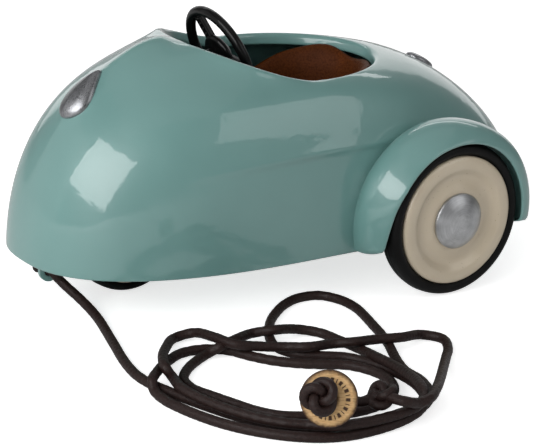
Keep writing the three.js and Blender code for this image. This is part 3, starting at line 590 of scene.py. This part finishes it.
def wall(angle, t, offset=0.0, pressed=True):
    """Points on the body's wall: t runs 0 to 1 up the wall, to 2 round the rim, to 3 down the lip."""
    angle = np.asarray(angle, float)
    skirt = skirt_point(angle)
    rim = rim_point(angle)
    gap = np.hypot(skirt[0] - rim[0], skirt[1] - rim[1])
    rise = rim[2] - SKIRT_Z
    slope = np.radians(wall_shape(angle, "slope"))
    handle = wall_shape(angle, "reach") * gap
    across = [gap, gap, handle, 0]
    up = [0, wall_shape(angle, "lift") * rise, rise - handle * np.tan(slope), rise]
    if np.ndim(t) or t <= 1:
        dq = bezier_slope(across, t)
        dz = bezier_slope(up, t)
        steep = np.hypot(dq, dz)
        normal = np.array([dz / steep, -dq / steep])
        q = bezier(across, t)
        z = bezier(up, t)
    else:
        turn = mix(slope, LIP_END, min(t, 2) - 1)
        normal = np.array([np.sin(turn), np.cos(turn)])
        drop = LIP_DROP * max(0, t - 2)
        q = LIP_RADIUS * (normal[0] - np.sin(slope)) - drop * normal[1]
        z = rise + LIP_RADIUS * (normal[1] - np.cos(slope)) + drop * normal[0]
    lean = (skirt[0] - rim[0]) / gap, (skirt[1] - rim[1]) / gap
    if pressed:
        x, y = rim[0] + lean[0] * q, rim[1] + lean[1] * q
        nose = smooth(np.cos(angle), 0.6, 0.8)
        raised = flank_swage(x, SKIRT_Z + z) + nose * lamp_boss(y, t)
        offset = offset + np.where(np.asarray(t) < 1, raised, 0)
    q = q + offset * normal[0]
    z = z + offset * normal[1]
    x, y = rim[0] + lean[0] * q, rim[1] + lean[1] * q
    return np.stack([x, y, SKIRT_Z + z + spine_height(x, y)], -1)


def even_angles(count):
    """Angles round the body whose points lie evenly along its middle height."""
    angle = np.linspace(0, 2 * math.pi, 8001)
    points = (np.stack(skirt_point(angle), 1) + np.stack(rim_point(angle)[:2], 1)) / 2
    length = np.r_[0, np.cumsum(np.linalg.norm(np.diff(points, axis=0), axis=1))]
    wanted = np.linspace(0, length[-1], count, endpoint=False)
    return np.interp(wanted, length, angle)


def hem(angle, t, sign, steps=5):
    """Rings that round off the sheet's edge, from the outer face to the inner one."""
    outer = wall(angle, t)
    inner = wall(angle, t, -SHEET)
    core = (outer + inner) / 2
    thick = np.linalg.norm(outer - inner, axis=1)[:, None]
    before = wall(angle, t - 0.02 * sign)
    down = outer - before
    down /= np.linalg.norm(down, axis=1)[:, None]
    turns = np.linspace(0, math.pi, steps + 2)[1:-1]
    return [core + (outer - core) * math.cos(a) + down * thick / 2 * math.sin(a) for a in turns]


def body_shell(material):
    angle = even_angles(360)
    climb = np.linspace(0, 1, 76)
    roll = np.linspace(1, 2, 11)[1:]
    drop = np.linspace(2, 3, 4)[1:]
    up = [wall(angle, t) for t in [*climb, *roll, *drop]]
    down = [wall(angle, t, -SHEET) for t in [*drop[::-1], *roll[::-1], *climb[::-2]]]
    rings = up + hem(angle, 3.0, 1) + down + hem(angle, 0.0, -1)[::-1]
    shell = Shape().skin(rings, close_rows=True)
    return shell.to_object("body_panel", material, "car", "teal_paint", "body_shell", sharp=75)


def body_filled(offset):
    """The body as one solid: a tool that trims what meets it."""
    angle = even_angles(180)
    skirt = wall(angle, 0.0, offset)
    low = skirt * [1, 1, 0] + [0, 0, SKIRT_Z - 6]
    rings = [low] + [wall(angle, t, offset) for t in np.linspace(0, 1, 40)]
    return Shape().skin(rings)


def surface_near(y, row, end, offset):
    """The body's surface over a wanted y near the centre line, at one height of the nose or tail."""
    low = np.zeros_like(y)
    high = np.full_like(y, 0.9)
    for _ in range(30):
        half = (low + high) / 2
        short = wall(half, row, 0.0, pressed=False)[..., 1] < np.abs(y)
        low, high = np.where(short, half, low), np.where(short, high, half)
    angle = np.where(y < 0, -low, low)
    return wall(angle if end == "nose" else math.pi - angle, row, offset)


def body_dome(end, half_width, rows, height, narrowing, base):
    """A pressed cover that follows the body: a low upright edge, a rounded shoulder and a crown."""
    around = 96
    spots = np.arange(around) / around * 2 * math.pi
    turns = np.linspace(0, math.pi / 2, 22)
    steps = [(1.0, base - 0.3), (1.0, base)]
    steps += [(math.cos(a), base + height * (1 - math.cos(a) ** 2.6) ** 0.385) for a in turns[:-1]]
    rings = []
    for radius, lift in steps:
        across = radius * np.cos(spots)
        along = radius * np.sin(spots)
        y = half_width * across * (1 - narrowing * along)
        rings.append(surface_near(y, mix(rows[0], rows[1], (along + 1) / 2), end, lift))
    return Shape().skin(rings)


# ---------------------------------------- mudguards
GUARD_FACE = 56.0
GUARD_EDGE = 26.6
GUARD_SWEEP = (-17.0, 190.0)


def guard_section(degrees):
    """Section of a mudguard as [y, radius]: outer face from the body to the opening, then back inside."""
    join = 26 + 5 * (max(0, 42 - degrees) / 60) ** 1.5
    flare = 2.4 * (max(0, 8 - degrees) / 25) ** 2
    straight = max(0, 30 - degrees) / 48
    corner = 1 - math.sqrt(1 - np.clip(max(-12 - degrees, degrees - 185) / 5, 0, 1) ** 2)
    face = GUARD_FACE - 4 * straight - 2.5 * corner
    rear = smooth(degrees, 70, 140)
    tuck = mix(mix(6.5, 3, straight), 1, rear)
    ys = [37 - 7 * smooth(degrees, 110, 165), mix(41, 42, rear), face - tuck, face]
    radii = [join, mix(mix(34.5, 32.2, straight), 31, rear), mix(mix(33, 32.4, straight), 35.5, rear),
             GUARD_EDGE + flare]
    t = np.linspace(0, 1, 33)
    outer = np.stack([bezier(ys, t), bezier(radii, t)], 1)
    slope = np.stack([bezier_slope(ys, t), bezier_slope(radii, t)], 1)
    slope /= np.linalg.norm(slope, axis=1)[:, None]
    inner = outer + SHEET * np.stack([slope[:, 1], -slope[:, 0]], 1)
    turns = np.linspace(0, math.pi, 7)[1:-1]
    core = (outer[-1] + inner[-1]) / 2
    edge = [core + (outer[-1] - core) * math.cos(a) + slope[-1] * SHEET / 2 * math.sin(a) for a in turns]
    return np.concatenate([outer, edge, inner[::-1]])


def guard_rings(side):
    """Sections of one mudguard, from its front foot over the wheel to its rear one."""
    axle = middle("left_rear_tyre")
    rings = []
    for angle in np.linspace(*GUARD_SWEEP, 132):
        section = guard_section(angle)
        turn = math.radians(angle)
        x = axle[0] + section[:, 1] * math.cos(turn)
        z = axle[2] + section[:, 1] * math.sin(turn)
        rings.append(np.stack([x, side * section[:, 0], z], 1))
    return rings


def rounded_ends(rings, thickness):
    """Adds rings that round off both ends of a thin swept sheet."""
    half = thickness / 2

    def end(ring, outwards):
        core = (ring + ring[::-1]) / 2
        away = np.maximum(1e-6, np.linalg.norm(ring - core, axis=1))[:, None]
        inset = ring - (ring - core) * np.minimum(1, half / away)
        steps = np.linspace(0, math.pi / 2, 5)[1:]
        return [inset + (ring - inset) * math.cos(a) + outwards * half * math.sin(a) for a in steps]

    first = unit((rings[0] - rings[1]).mean(0))
    last = unit((rings[-1] - rings[-2]).mean(0))
    return end(rings[0], first)[::-1] + rings + end(rings[-1], last)


def mudguard(side, name, material):
    guard = Shape().skin(rounded_ends(guard_rings(side), SHEET))
    obj = guard.to_object(f"{name}_arch", material, "car", "teal_paint", f"{name}_mudguard", sharp=60)
    trim(obj, body_filled(-0.45))


def trim(obj, tool):
    """Cuts a tool away from a piece, for good."""
    cutter = tool.to_object("cutter", obj.data.materials[0], None, None)
    cut = obj.modifiers.new("trim", "BOOLEAN")
    cut.operation = "DIFFERENCE"
    cut.solver = "EXACT"
    cut.object = cutter
    evaluated = obj.evaluated_get(bpy.context.evaluated_depsgraph_get())
    mesh = bpy.data.meshes.new_from_object(evaluated)
    obj.modifiers.clear()
    obj.data = mesh
    bpy.data.objects.remove(cutter)


# ---------------------------------------- wheels
def disc_seat(radius):
    """Radius at which a wheel disc meets a tyre of this outer radius."""
    return 0.84 * radius - 0.15


def wheel_place(node):
    side = 1 if middle(node)[1] >= 0 else -1
    return placing(middle(node), [1, 0, 0], [0, side, 0], [0, 0, 1])


def tyre(name, material, body, node):
    """A smooth moulded tyre: soft shoulders, a flat bead at the disc and a fine mould line."""
    radius = reach(node, 2)
    half = reach(node, 1)
    seat = 0.84 * radius
    outside = [[seat, 0.62 * half], [seat + 0.25, 0.8 * half], [0.885 * radius, 0.97 * half],
               [0.915 * radius, half], [0.95 * radius, 0.93 * half], [0.98 * radius, 0.72 * half],
               [0.995 * radius, 0.42 * half], [radius, 0.12 * half]]
    face = rounded(outside, 0.35).tolist()
    mould = [[radius, 0.25], [radius + 0.07, 0.08]]
    half_profile = face[:-1] + mould
    profile = half_profile + [[r, -y] for r, y in half_profile[::-1]]
    profile.append(profile[0])
    shape = Shape().turned(profile, 160, wheel_place(node))
    return shape.to_object(name, material, body, "tyre_rubber", node, sharp=60)


def pressed_disc(name, material, body, node, tyre_node, hub):
    """A pressed wheel disc: raised outer ring, a soft step, a shallow dish and a plain back."""
    radius = reach(tyre_node, 2)
    half = reach(tyre_node, 1)
    seat = disc_seat(radius)
    front = [[seat, 0.62 * half], [seat, 0.9 * half], [0.985 * seat, 1.0 * half], [0.94 * seat, half + 0.4],
             [0.87 * seat, half + 0.5], [0.81 * seat, half + 0.3], [0.76 * seat, 0.9 * half],
             [0.71 * seat, 0.73 * half], [0.66 * seat, 0.67 * half], [0.6 * seat, 0.71 * half]]
    plain_hub = [[0.48 * seat, 0.88 * half], [0.34 * seat, 0.9 * half], [BORE, 0.9 * half]]
    face = rounded(front + (hub or plain_hub), 0.3).tolist()
    back = [[BORE, -0.9 * half], [0.2 * radius, -0.9 * half], [0.22 * radius, -0.5 * half],
            [0.68 * radius, -0.35 * half], [0.97 * seat, -0.78 * half], [seat, -0.7 * half]]
    profile = face + back + [face[0]]
    shape = Shape().turned(profile, 160, wheel_place(tyre_node))
    return shape.to_object(name, material, body, "cream_enamel", node, sharp=40)


def front_hub(radius, half):
    """The small raised boss in the middle of the front wheel."""
    seat = disc_seat(radius)
    return [[0.45 * seat, 0.84 * half], [0.29 * seat, 0.86 * half], [0.24 * seat, half + 0.35],
            [0.2 * seat, half + 0.65], [BORE, half + 0.7]]


def hubcap(name, material, node, side):
    """A domed cap, hand-brushed, with its edge turned in."""
    low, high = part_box(node)
    base = (low[1] if side > 0 else high[1]) / MM
    radius = reach(node, 0)
    height = 2 * reach(node, 1)
    turns = np.linspace(0, math.pi / 2, 24)
    edge = 0.24 * height
    crown = [[radius * math.cos(a), edge + (height - edge) * math.sin(a) ** 1.7] for a in turns[:-1]]
    profile = [[0, 0], [radius - 0.25, 0], [radius, 0.2]] + crown + [[0, height]]
    centre = middle(node)
    place = placing([centre[0], base, centre[2]], [1, 0, 0], [0, side, 0], [0, 0, 1])
    shape = Shape().turned(profile, 128, place)
    return shape.to_object(name, material, "rear_wheelset", "silver_trim", node)


# ---------------------------------------- steering wheel
def steering_place():
    """Placing whose local Y runs down the column and whose Z runs across the car."""
    up = np.array([math.sin(STEER_TILT), 0, math.cos(STEER_TILT)])
    ahead = np.array([math.cos(STEER_TILT), 0, -math.sin(STEER_TILT)])
    return placing(STEER_CENTRE, up, ahead, [0, 1, 0])


def slab(shape, length, width, height, place, bevel):
    """A bar along local Z with rounded edges, centred on Z, from z = 0 to length."""
    corner = 5
    outline = []
    for quarter in range(4):
        cx = (width / 2 - bevel) * (1 if quarter in (0, 3) else -1)
        cy = (height / 2 - bevel) * (1 if quarter in (0, 1) else -1)
        for k in range(corner):
            a = (quarter + k / (corner - 1)) * math.pi / 2
            outline.append([cx + bevel * math.cos(a), cy + bevel * math.sin(a)])
    rings = [np.column_stack([outline, np.full(len(outline), length * t)]) for t in np.linspace(0, 1, 12)]
    return shape.skin(moved(rings, place))


def ball(shape, centre, radius):
    turns = np.linspace(0.08, math.pi - 0.08, 8)
    spots = np.arange(12) / 12 * 2 * math.pi
    ring = np.stack([np.cos(spots), 0 * spots, np.sin(spots)], 1)
    return shape.skin([centre + radius * (ring * math.sin(a) + [0, math.cos(a), 0]) for a in turns])


def steering_wheel(material):
    shape = Shape()
    rim = STEER_OUTER - STEER_TUBE
    spin = np.arange(144) / 144 * 2 * math.pi
    circle = np.stack([rim * np.cos(spin), 0 * spin, rim * np.sin(spin)], 1)
    place = steering_place()
    around = 28
    section = []
    for k in range(around):
        a = k / around * 2 * math.pi
        seam = 0.12 * math.exp(-((math.sin(a) / 0.13) ** 2)) if math.cos(a) < 0 else 0
        section.append([(STEER_TUBE - seam) * math.cos(a), (STEER_TUBE - seam) * 0.98 * math.sin(a)])
    section = np.array(section)
    rings = []
    for point, a in zip(circle, spin):
        outwards = np.array([math.cos(a), 0, math.sin(a)])
        rings.append([point + outwards * s[0] + np.array([0, s[1], 0]) for s in section])
    shape.skin(moved(rings, place), close_rows=True)
    hub = [[0, -1.1], [2.5, -1.1], [4.6, -1.0], [6.2, -0.8], [6.85, -0.2], [7, 0.3], [6.7, 1.0], [6, 1.6],
           [4.2, 2.0], [3.3, 2.5], [3.2, 4.9], [2.9, 5.4], [AXLE + 0.05, 5.4], [AXLE + 0.05, 0.8], [0, 0.8]]
    shape.turned(hub, 64, place)
    for degrees in (270, 30, 150):
        spoke(shape, -math.radians(degrees) - STEER_TURN, place, rim)
    return shape.to_object("steering_rim", material, "steering", "black_enamel", "steering_wheel", sharp=45)


def spoke(shape, turn, place, rim):
    """A flat spoke with raised edges and a row of studs on its face."""
    out = np.array([math.sin(turn), 0, math.cos(turn)])
    across = np.cross([0, 1, 0], out)
    local = placing([0, 0, 0], across, [0, 1, 0], out)
    slab(shape, rim - 5, 3.1, 1.5, place @ local @ shifted(0, 0, 5), 0.35)
    for face in (-0.78, 0.78):
        for side in (-1.25, 1.25):
            slab(shape, rim - 6.8, 0.5, 0.5, place @ local @ shifted(side, face, 5.6), 0.12)
        for k in range(4):
            ball(shape, moved([0, face, 7.9 + 1.75 * k], place @ local), 0.5)


def shifted(x, y, z):
    place = np.eye(4)
    place[:3, 3] = [x, y, z]
    return place


def steering_cap(material):
    turns = np.linspace(0, math.pi / 2, 12)
    dome = [[3.9 * math.sin(a), -1.25 - 1.75 * math.cos(a)] for a in turns]
    shape = Shape().turned([*dome, [3.9, -1.15], [0, -1.15]], 64, steering_place())
    return shape.to_object("steering_boss", material, "steering", "black_enamel", "steering_cap")


# ---------------------------------------- seat
def seat_back(material):
    """A padded tub back: each section is a soft slab, fuller on the inside, and both ends are rounded."""
    low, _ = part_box("seat_backrest")
    floor = low[2] / MM
    steps = 96
    around = 40
    spots = np.arange(around) / around * 2 * math.pi
    rings = []
    for step in range(steps + 1):
        share = step / steps
        degrees = mix(76, 284, share)
        turn = math.radians(degrees)
        rear = max(0, -math.cos(turn))
        away = abs(degrees - 180)
        tall = 26.2 + 2 * smooth(away, 0, 32) - 10 * smooth(away, 38, 105)
        end = min(1, min(share, 1 - share) / 0.045)
        fade = math.sqrt(max(0.02, 1 - (1 - end) ** 2))
        depth = 0.5 + 0.5 * fade * signed_power(-np.cos(spots), 0.75)
        rise = 0.5 + 0.5 * mix(0.9, 1, fade) * signed_power(np.sin(spots), 0.45)
        plump = 1.6 * fade * np.sin(math.pi * np.clip(rise, 0, 1)) ** 0.8 * (1 - depth)
        puff = 1 + 0.012 * math.sin(9 * turn)
        height = rise * tall * puff
        radius = 4.2 * depth - plump
        x = SEAT_MID + (19.5 + radius) * math.cos(turn) - 0.22 * rear * height
        y = (20.5 + radius) * math.sin(turn)
        rings.append(np.stack([x, y, floor + height], 1))
    shape = Shape().skin(rings)
    return shape.to_object("seat_back_pad", material, "car", "leather", "seat_backrest", sharp=80)


def seat_pad(material):
    """The squab: a crowned cushion whose sides pull in under a rolled edge."""
    low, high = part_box("seat_squab")
    floor, top = low[2] / MM, high[2] / MM
    rear, front, half = SEAT_MID, 44.0, 17.6
    around = 120
    spots = np.arange(around) / around * 2 * math.pi
    c, s = np.cos(spots), np.sin(spots)
    length = np.where(c > 0, front + 1.2 - rear, half)
    power = np.where(c > 0, 0.55, 1.0)
    edge = np.stack([length * signed_power(c, power), half * 1.05 * signed_power(s, power)], 1)
    turns = np.linspace(-math.pi / 2, math.pi / 2, 26)
    rings = []
    for a in turns:
        radius = math.cos(a) ** 0.42
        up = math.sin(a)
        share = 0.42 + (0.58 if up > 0 else 0.42) * signed_power(up, 0.9)
        height = max(floor, mix(floor, top, share))
        x = rear + edge[:, 0] * radius
        rings.append(np.column_stack([x, edge[:, 1] * radius, np.full(around, height)]))
    shape = Shape().skin(rings[1:-1])
    return shape.to_object("seat_pad", material, "car", "leather", "seat_squab", sharp=80)


# ---------------------------------------- cord and button
BUTTON_AXIS = unit([0.55, 0.77, 0.33])
CORD_LEAN = np.array([1.66, 2.34])
# From the tow eye to the button: [x, y] where the cord would lie on clear ground, or [x, y, height above
# the ground]. A helper program made these rows by projecting points along the cord on to the ground.
CORD_PATH = [
    [118.6, -5, 10.4], [118.6, 1.6, 10.4], [116, 4, 7], [113.5, 11, 3.5], [114, 22], [120, 41], [126, 60],
    [127.5, 71], [125.5, 82], [121, 97.5], [115.5, 110], [106.5, 120.5], [95.5, 127], [81.5, 128.5],
    [70, 126.5], [61.5, 121.5], [55.5, 111.5], [55, 102.5], [52, 93.5], [46, 81], [41.5, 68], [37, 49],
    [40.5, 39], [50, 37.5], [64, 46], [73.5, 57], [78.5, 68], [75.5, 76.5], [64.5, 84.5], [59, 96.5],
    [58, 109], [62, 119.5], [72.5, 128], [90, 132], [103, 130], [113.5, 123], [123, 110.5], [128.5, 95],
    [129.5, 82.5], [125, 72.5], [114.5, 63], [103.5, 58.5], [93.5, 63], [87.5, 74], [78.5, 83], [66.5, 91],
    [63, 102.5], [67, 112], [80, 119], [95.5, 117], [108, 110], [114, 97], [117, 87.5], [118.5, 80],
    [112, 70.5], [100, 63], [83.5, 56], [70.5, 55.5], [61, 62.5], [57.5, 77], [55, 94.5], [56.5, 109],
    [65, 120.5], [80, 124.5], [96, 122.5], [109.5, 113], [118, 95], [119.5, 79.5], [115.5, 65.5],
    [109.5, 54.5], [100, 47], [92, 47.5], [87, 60], [71.5, 70.5], [57, 74], [39.5, 78.5], [29, 83],
    [31, 91.5], [42.5, 103.5], [54.5, 113.5], [63.5, 119.5], [79.5, 135, 9.5], [83.5, 133, 10],
    [85, 127.5, 9.5], [89.5, 126, 8],
]


def cord_path(button):
    """Lays the cord down from its start: where it meets an earlier stretch it climbs over it."""
    held = [button + BUTTON_AXIS * along for along in (-7, -3, 0, 3.4)]
    marks = [(*spot, CORD) if len(spot) == 2 else tuple(spot) for spot in CORD_PATH]
    marks += [(x, y, z - GROUND) for x, y, z in held]
    plan = np.array([[*(np.array([x, y]) - CORD_LEAN * (h - CORD)), h] for x, y, h in marks])
    samples = 600
    flat = along_spline(plan, samples)
    step = np.linalg.norm(np.diff(flat, axis=0), axis=1).mean()
    feet, heights = flat[:, :2], flat[:, 2].copy()
    apart = 2 * CORD + 0.35
    climb = 0.32
    free = math.ceil(16 / step)
    last = samples - math.ceil(30 / step)
    index = np.arange(samples + 1)

    def place(which):
        rise = heights[which] - CORD
        return np.column_stack([feet[which] + CORD_LEAN * rise[:, None], heights[which]])

    for j in range(free, 2 * last):
        at = max(free, j % last)
        before = heights[at]
        earlier = place(index[: at - free])
        while len(earlier) and heights[at] < before + 12:
            if np.linalg.norm(earlier - place(index[at : at + 1]), axis=1).min() >= apart:
                break
            heights[at] += 0.15
        if heights[at] > before:
            eased = heights[at] - climb * step * np.abs(index[:last] - at)
            heights[:last] = np.maximum(heights[:last], eased)
    laid = place(index) + [0, 0, GROUND]
    return laid[::4]


def braid(turn, distance):
    """Height of the plaited strands: two families of helices that cross over each other."""
    pitch = 2 * math.pi * distance / 7.2
    one = np.abs(np.cos(3 * turn + pitch))
    other = np.abs(np.cos(3 * turn - pitch))
    return 0.27 * np.maximum(one, other) ** 0.7 - 0.23


def knot_path(radius, place, axis, count=240):
    """An overhand knot pulled tight, as a closed curve about axis."""
    t = np.arange(count) / count * 4 * math.pi
    ring = radius * (2 + np.cos(1.5 * t)) / 2
    points = np.stack([ring * np.cos(t), radius * np.sin(1.5 * t) / 2, ring * np.sin(t)], 1)
    return moved(points, facing(place, axis))


def pull_cord(material):
    button = middle("cord_button")
    rough = cord_path(button)
    length = np.linalg.norm(np.diff(rough, axis=0), axis=1).sum()
    path = along_spline(rough, int(length / 0.42))
    shape = Shape()
    tube(shape, path, CORD, 20, texture=braid)
    start = middle("tow_eye") * [1, 0, 0] + [0, -5.2, GROUND + 10.4]
    front = button + [2.2, -1.4, 0.8] + BUTTON_AXIS * 4.6
    end = [84, 127.5, GROUND + 9.5]
    knots = [(2.1, start, [0, 1, 0], 1.1), (2.9, front, BUTTON_AXIS, 1.4), (2.5, end, [0.6, 0, 0.8], 1.35)]
    for radius, place, axis, thick in knots:
        tube(shape, knot_path(radius, place, axis), thick, 20, closed=True, texture=braid)
    return shape.to_object("braided_cord", material, "car", "cord_braid", "pull_cord", sharp=80)


def cord_button():
    """A turned wooden disc with softened edges and a slightly dished face."""
    place = facing(middle("cord_button"), BUTTON_AXIS)
    outline = [[2.1, -0.9], [2.4, -1.15], [4, -1.2], [6.6, -1.3], [7.5, -1.15], [8, -0.6], [8.05, 0],
               [8, 0.6], [7.5, 1.15], [6.6, 1.3], [4, 1.2], [2.4, 1.15], [2.1, 0.9]]
    profile = rounded(outline, 0.25).tolist()
    profile.append(profile[0])
    shape = Shape().turned(profile, 96, place)
    return shape.to_object("wooden_button", turned_wood(place), "car", "button_wood", "cord_button")


# ---------------------------------------- CAD pieces that stay
def soften(obj, width):
    """Bevels a CAD piece's edges with modifiers, which leave its own vertices alone."""
    weld = obj.modifiers.new("weld", "WELD")
    weld.merge_threshold = 1e-6
    soft = obj.modifiers.new("soft edges", "BEVEL")
    soft.width = width * MM
    soft.segments = 2
    soft.limit_method = "ANGLE"
    soft.angle_limit = math.radians(40)
    soft.harden_normals = True


def finish_cad(nodes, material, bevel=0.0):
    for node in nodes:
        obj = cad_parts[node]
        obj.data.materials.clear()
        obj.data.materials.append(material)
        if bevel:
            soften(obj, bevel)


# ---------------------------------------- camera, light and floor
def towards(heading, elevation):
    """Direction from +X round to +Y by heading, and up by elevation, both in radians."""
    flat = math.cos(elevation)
    return np.array([flat * math.cos(heading), flat * math.sin(heading), math.sin(elevation)])


def camera():
    """The camera stands ahead of the car's left side and leans a little."""
    heading, height, roll = np.radians(CAMERA_TURN)
    back = towards(heading, height)
    level = np.array([-math.sin(heading), math.cos(heading), 0])
    up = np.cross(back, level)
    right = level * math.cos(roll) + up * math.sin(roll)
    above = -level * math.sin(roll) + up * math.cos(roll)
    data = bpy.data.cameras.new("camera")
    data.lens = CAMERA_LENS
    data.sensor_width = 36
    data.clip_start = 0.01
    obj = bpy.data.objects.new("camera", data)
    bpy.context.scene.collection.objects.link(obj)
    obj.matrix_world = Matrix(placing(CAMERA_PLACE * MM, right, above, back).tolist())
    bpy.context.scene.camera = obj


def softbox(name, heading, elevation, distance, size, glow, roll=0.0):
    """A softbox that faces the car: heading and elevation in degrees, distance and size in metres."""
    data = bpy.data.lights.new(name, "AREA")
    data.shape = "RECTANGLE"
    data.size, data.size_y = size
    data.energy = glow * math.pi * size[0] * size[1]
    obj = bpy.data.objects.new(name, data)
    bpy.context.scene.collection.objects.link(obj)
    turn, rise, lean = math.radians(heading), math.radians(elevation), math.radians(roll)
    back = towards(turn, rise)
    side = unit(np.cross([0, 0, 1], back))
    across = side * math.cos(lean) + np.cross(back, side) * math.sin(lean)
    place = placing(LIGHT_TARGET + back * distance, across, np.cross(back, across), back)
    obj.matrix_world = Matrix(place.tolist())


def studio():
    """A pale backdrop behind the car, a dimmer room on the camera's side, and softboxes."""
    world = bpy.data.worlds.new("studio")
    bpy.context.scene.world = world
    world.use_nodes = True
    tree = world.node_tree
    where = tree.nodes.new("ShaderNodeTexCoord")
    facing_back = tree.nodes.new("ShaderNodeVectorMath")
    facing_back.operation = "DOT_PRODUCT"
    facing_back.inputs[1].default_value = BACKDROP
    glow = tree.nodes.new("ShaderNodeMapRange")
    glow.interpolation_type = "SMOOTHSTEP"
    for socket, value in zip(glow.inputs[1:5], (0.79, 0.84, 0.16, 1.15)):
        socket.default_value = value
    tree.links.new(where.outputs["Generated"], facing_back.inputs[0])
    tree.links.new(facing_back.outputs["Value"], glow.inputs["Value"])
    tree.links.new(glow.outputs["Result"], tree.nodes["Background"].inputs["Strength"])
    tree.nodes["Background"].inputs["Color"].default_value = (1, 1, 1, 1)
    softbox("key_box", 21, 25, 0.8, (0.85, 0.42), 4.7, -20)
    softbox("side_box", 119, 28, 0.8, (0.5, 0.42), 1.3, -24)
    softbox("front_fill", -35, 15, 1.0, (0.9, 0.9), 0.4)
    softbox("top_box", 60, 82, 1.2, (1.3, 1.3), 0.25)
    softbox("rim_strip", -125, 42, 1.0, (1.2, 0.1), 3.0)
    bpy.context.scene.view_settings.view_transform = "Standard"


def floor():
    """One wide sheet under the wheels."""
    shape = Shape()
    size = 4000
    corners = [[-size, -size], [size, -size], [size, size], [-size, size]]
    shape.points = [[x, y, GROUND] for x, y in corners]
    shape.faces = [(0, 1, 2, 3)]
    shape.to_object("studio_floor", pale_floor(), None, None)


# ---------------------------------------- assembly
BENT_PLATES = ["front_fork", "left_axle_bracket", "right_axle_bracket", "column_bracket", "seat_frame"]
SCREWS = [f"pan_screw_{k}" for k in (1, 2, 3, 4)]
SCREWS += ["tow_screw", "fork_screw_1", "fork_screw_2", "motor_screw_1", "motor_screw_2"]
SHAFTS = ["rear_axle", "front_axle_pin", "front_axle_clip", "steering_column", "idler_pin", "spring_arbor"]

paint = gloss_paint()
cream = cream_enamel()
rubber = tyre_rubber()
black = black_enamel()
hide = leather()
trim_silver = silver("silver_trim", ((118, 119, 122), (172, 173, 176)), 0.25)
hub_silver = silver("silver_hubcap", ((150, 151, 153), (205, 206, 208)), 0.3, middle("left_rear_hubcap"))
zinc = metal("zinc_steel", rgb(150, 152, 154), rgb(196, 198, 200), 0.36)
brass = metal("brass", rgb(170, 130, 62), rgb(214, 178, 104), 0.3)
housing = moulded("motor_plastic", rgb(196, 190, 176), rgb(214, 209, 197))
gear = moulded("gear_plastic", rgb(226, 220, 203), rgb(238, 234, 222))

body_shell(paint)
mudguard(1, "left", paint)
mudguard(-1, "right", paint)
lamp = body_dome("nose", LAMP_HALF, LAMP_ROWS, 2.3, 0.68, 0.2)
lamp.to_object("headlamp_dome", trim_silver, "car", "silver_trim", "headlamp_cover")
tail = body_dome("tail", TAIL_HALF, TAIL_ROWS, 1.6, 0.0, 0.15)
tail.to_object("tail_dome", trim_silver, "car", "silver_trim", "tail_cap")

for side, name in ((1, "left"), (-1, "right")):
    tyre(f"{name}_tyre", rubber, "rear_wheelset", f"{name}_rear_tyre")
    pressed_disc(f"{name}_disc", cream, "rear_wheelset", f"{name}_rear_wheel", f"{name}_rear_tyre", None)
    hubcap(f"{name}_dome", hub_silver, f"{name}_rear_hubcap", side)
tyre("nose_tyre", rubber, "front_wheel_set", "front_tyre")
boss = front_hub(reach("front_tyre", 2), reach("front_tyre", 1))
pressed_disc("nose_disc", cream, "front_wheel_set", "front_wheel", "front_tyre", boss)

steering_wheel(black)
steering_cap(black)
seat_back(hide)
seat_pad(hide)
pull_cord(cord_braid())
cord_button()

finish_cad(["floor_pan"], paint, 0.2)
finish_cad(["tow_eye"], paint, 0.35)
finish_cad(["column_collar"], brass, 0.2)
finish_cad(["motor_housing_left", "motor_housing_right"], housing, 0.25)
finish_cad(["axle_pinion", "idler_gear", "spring_drum_gear"], gear)
finish_cad(BENT_PLATES, zinc, 0.25)
finish_cad([*SCREWS, *SHAFTS, "mainspring"], zinc)

floor()
studio()
camera()
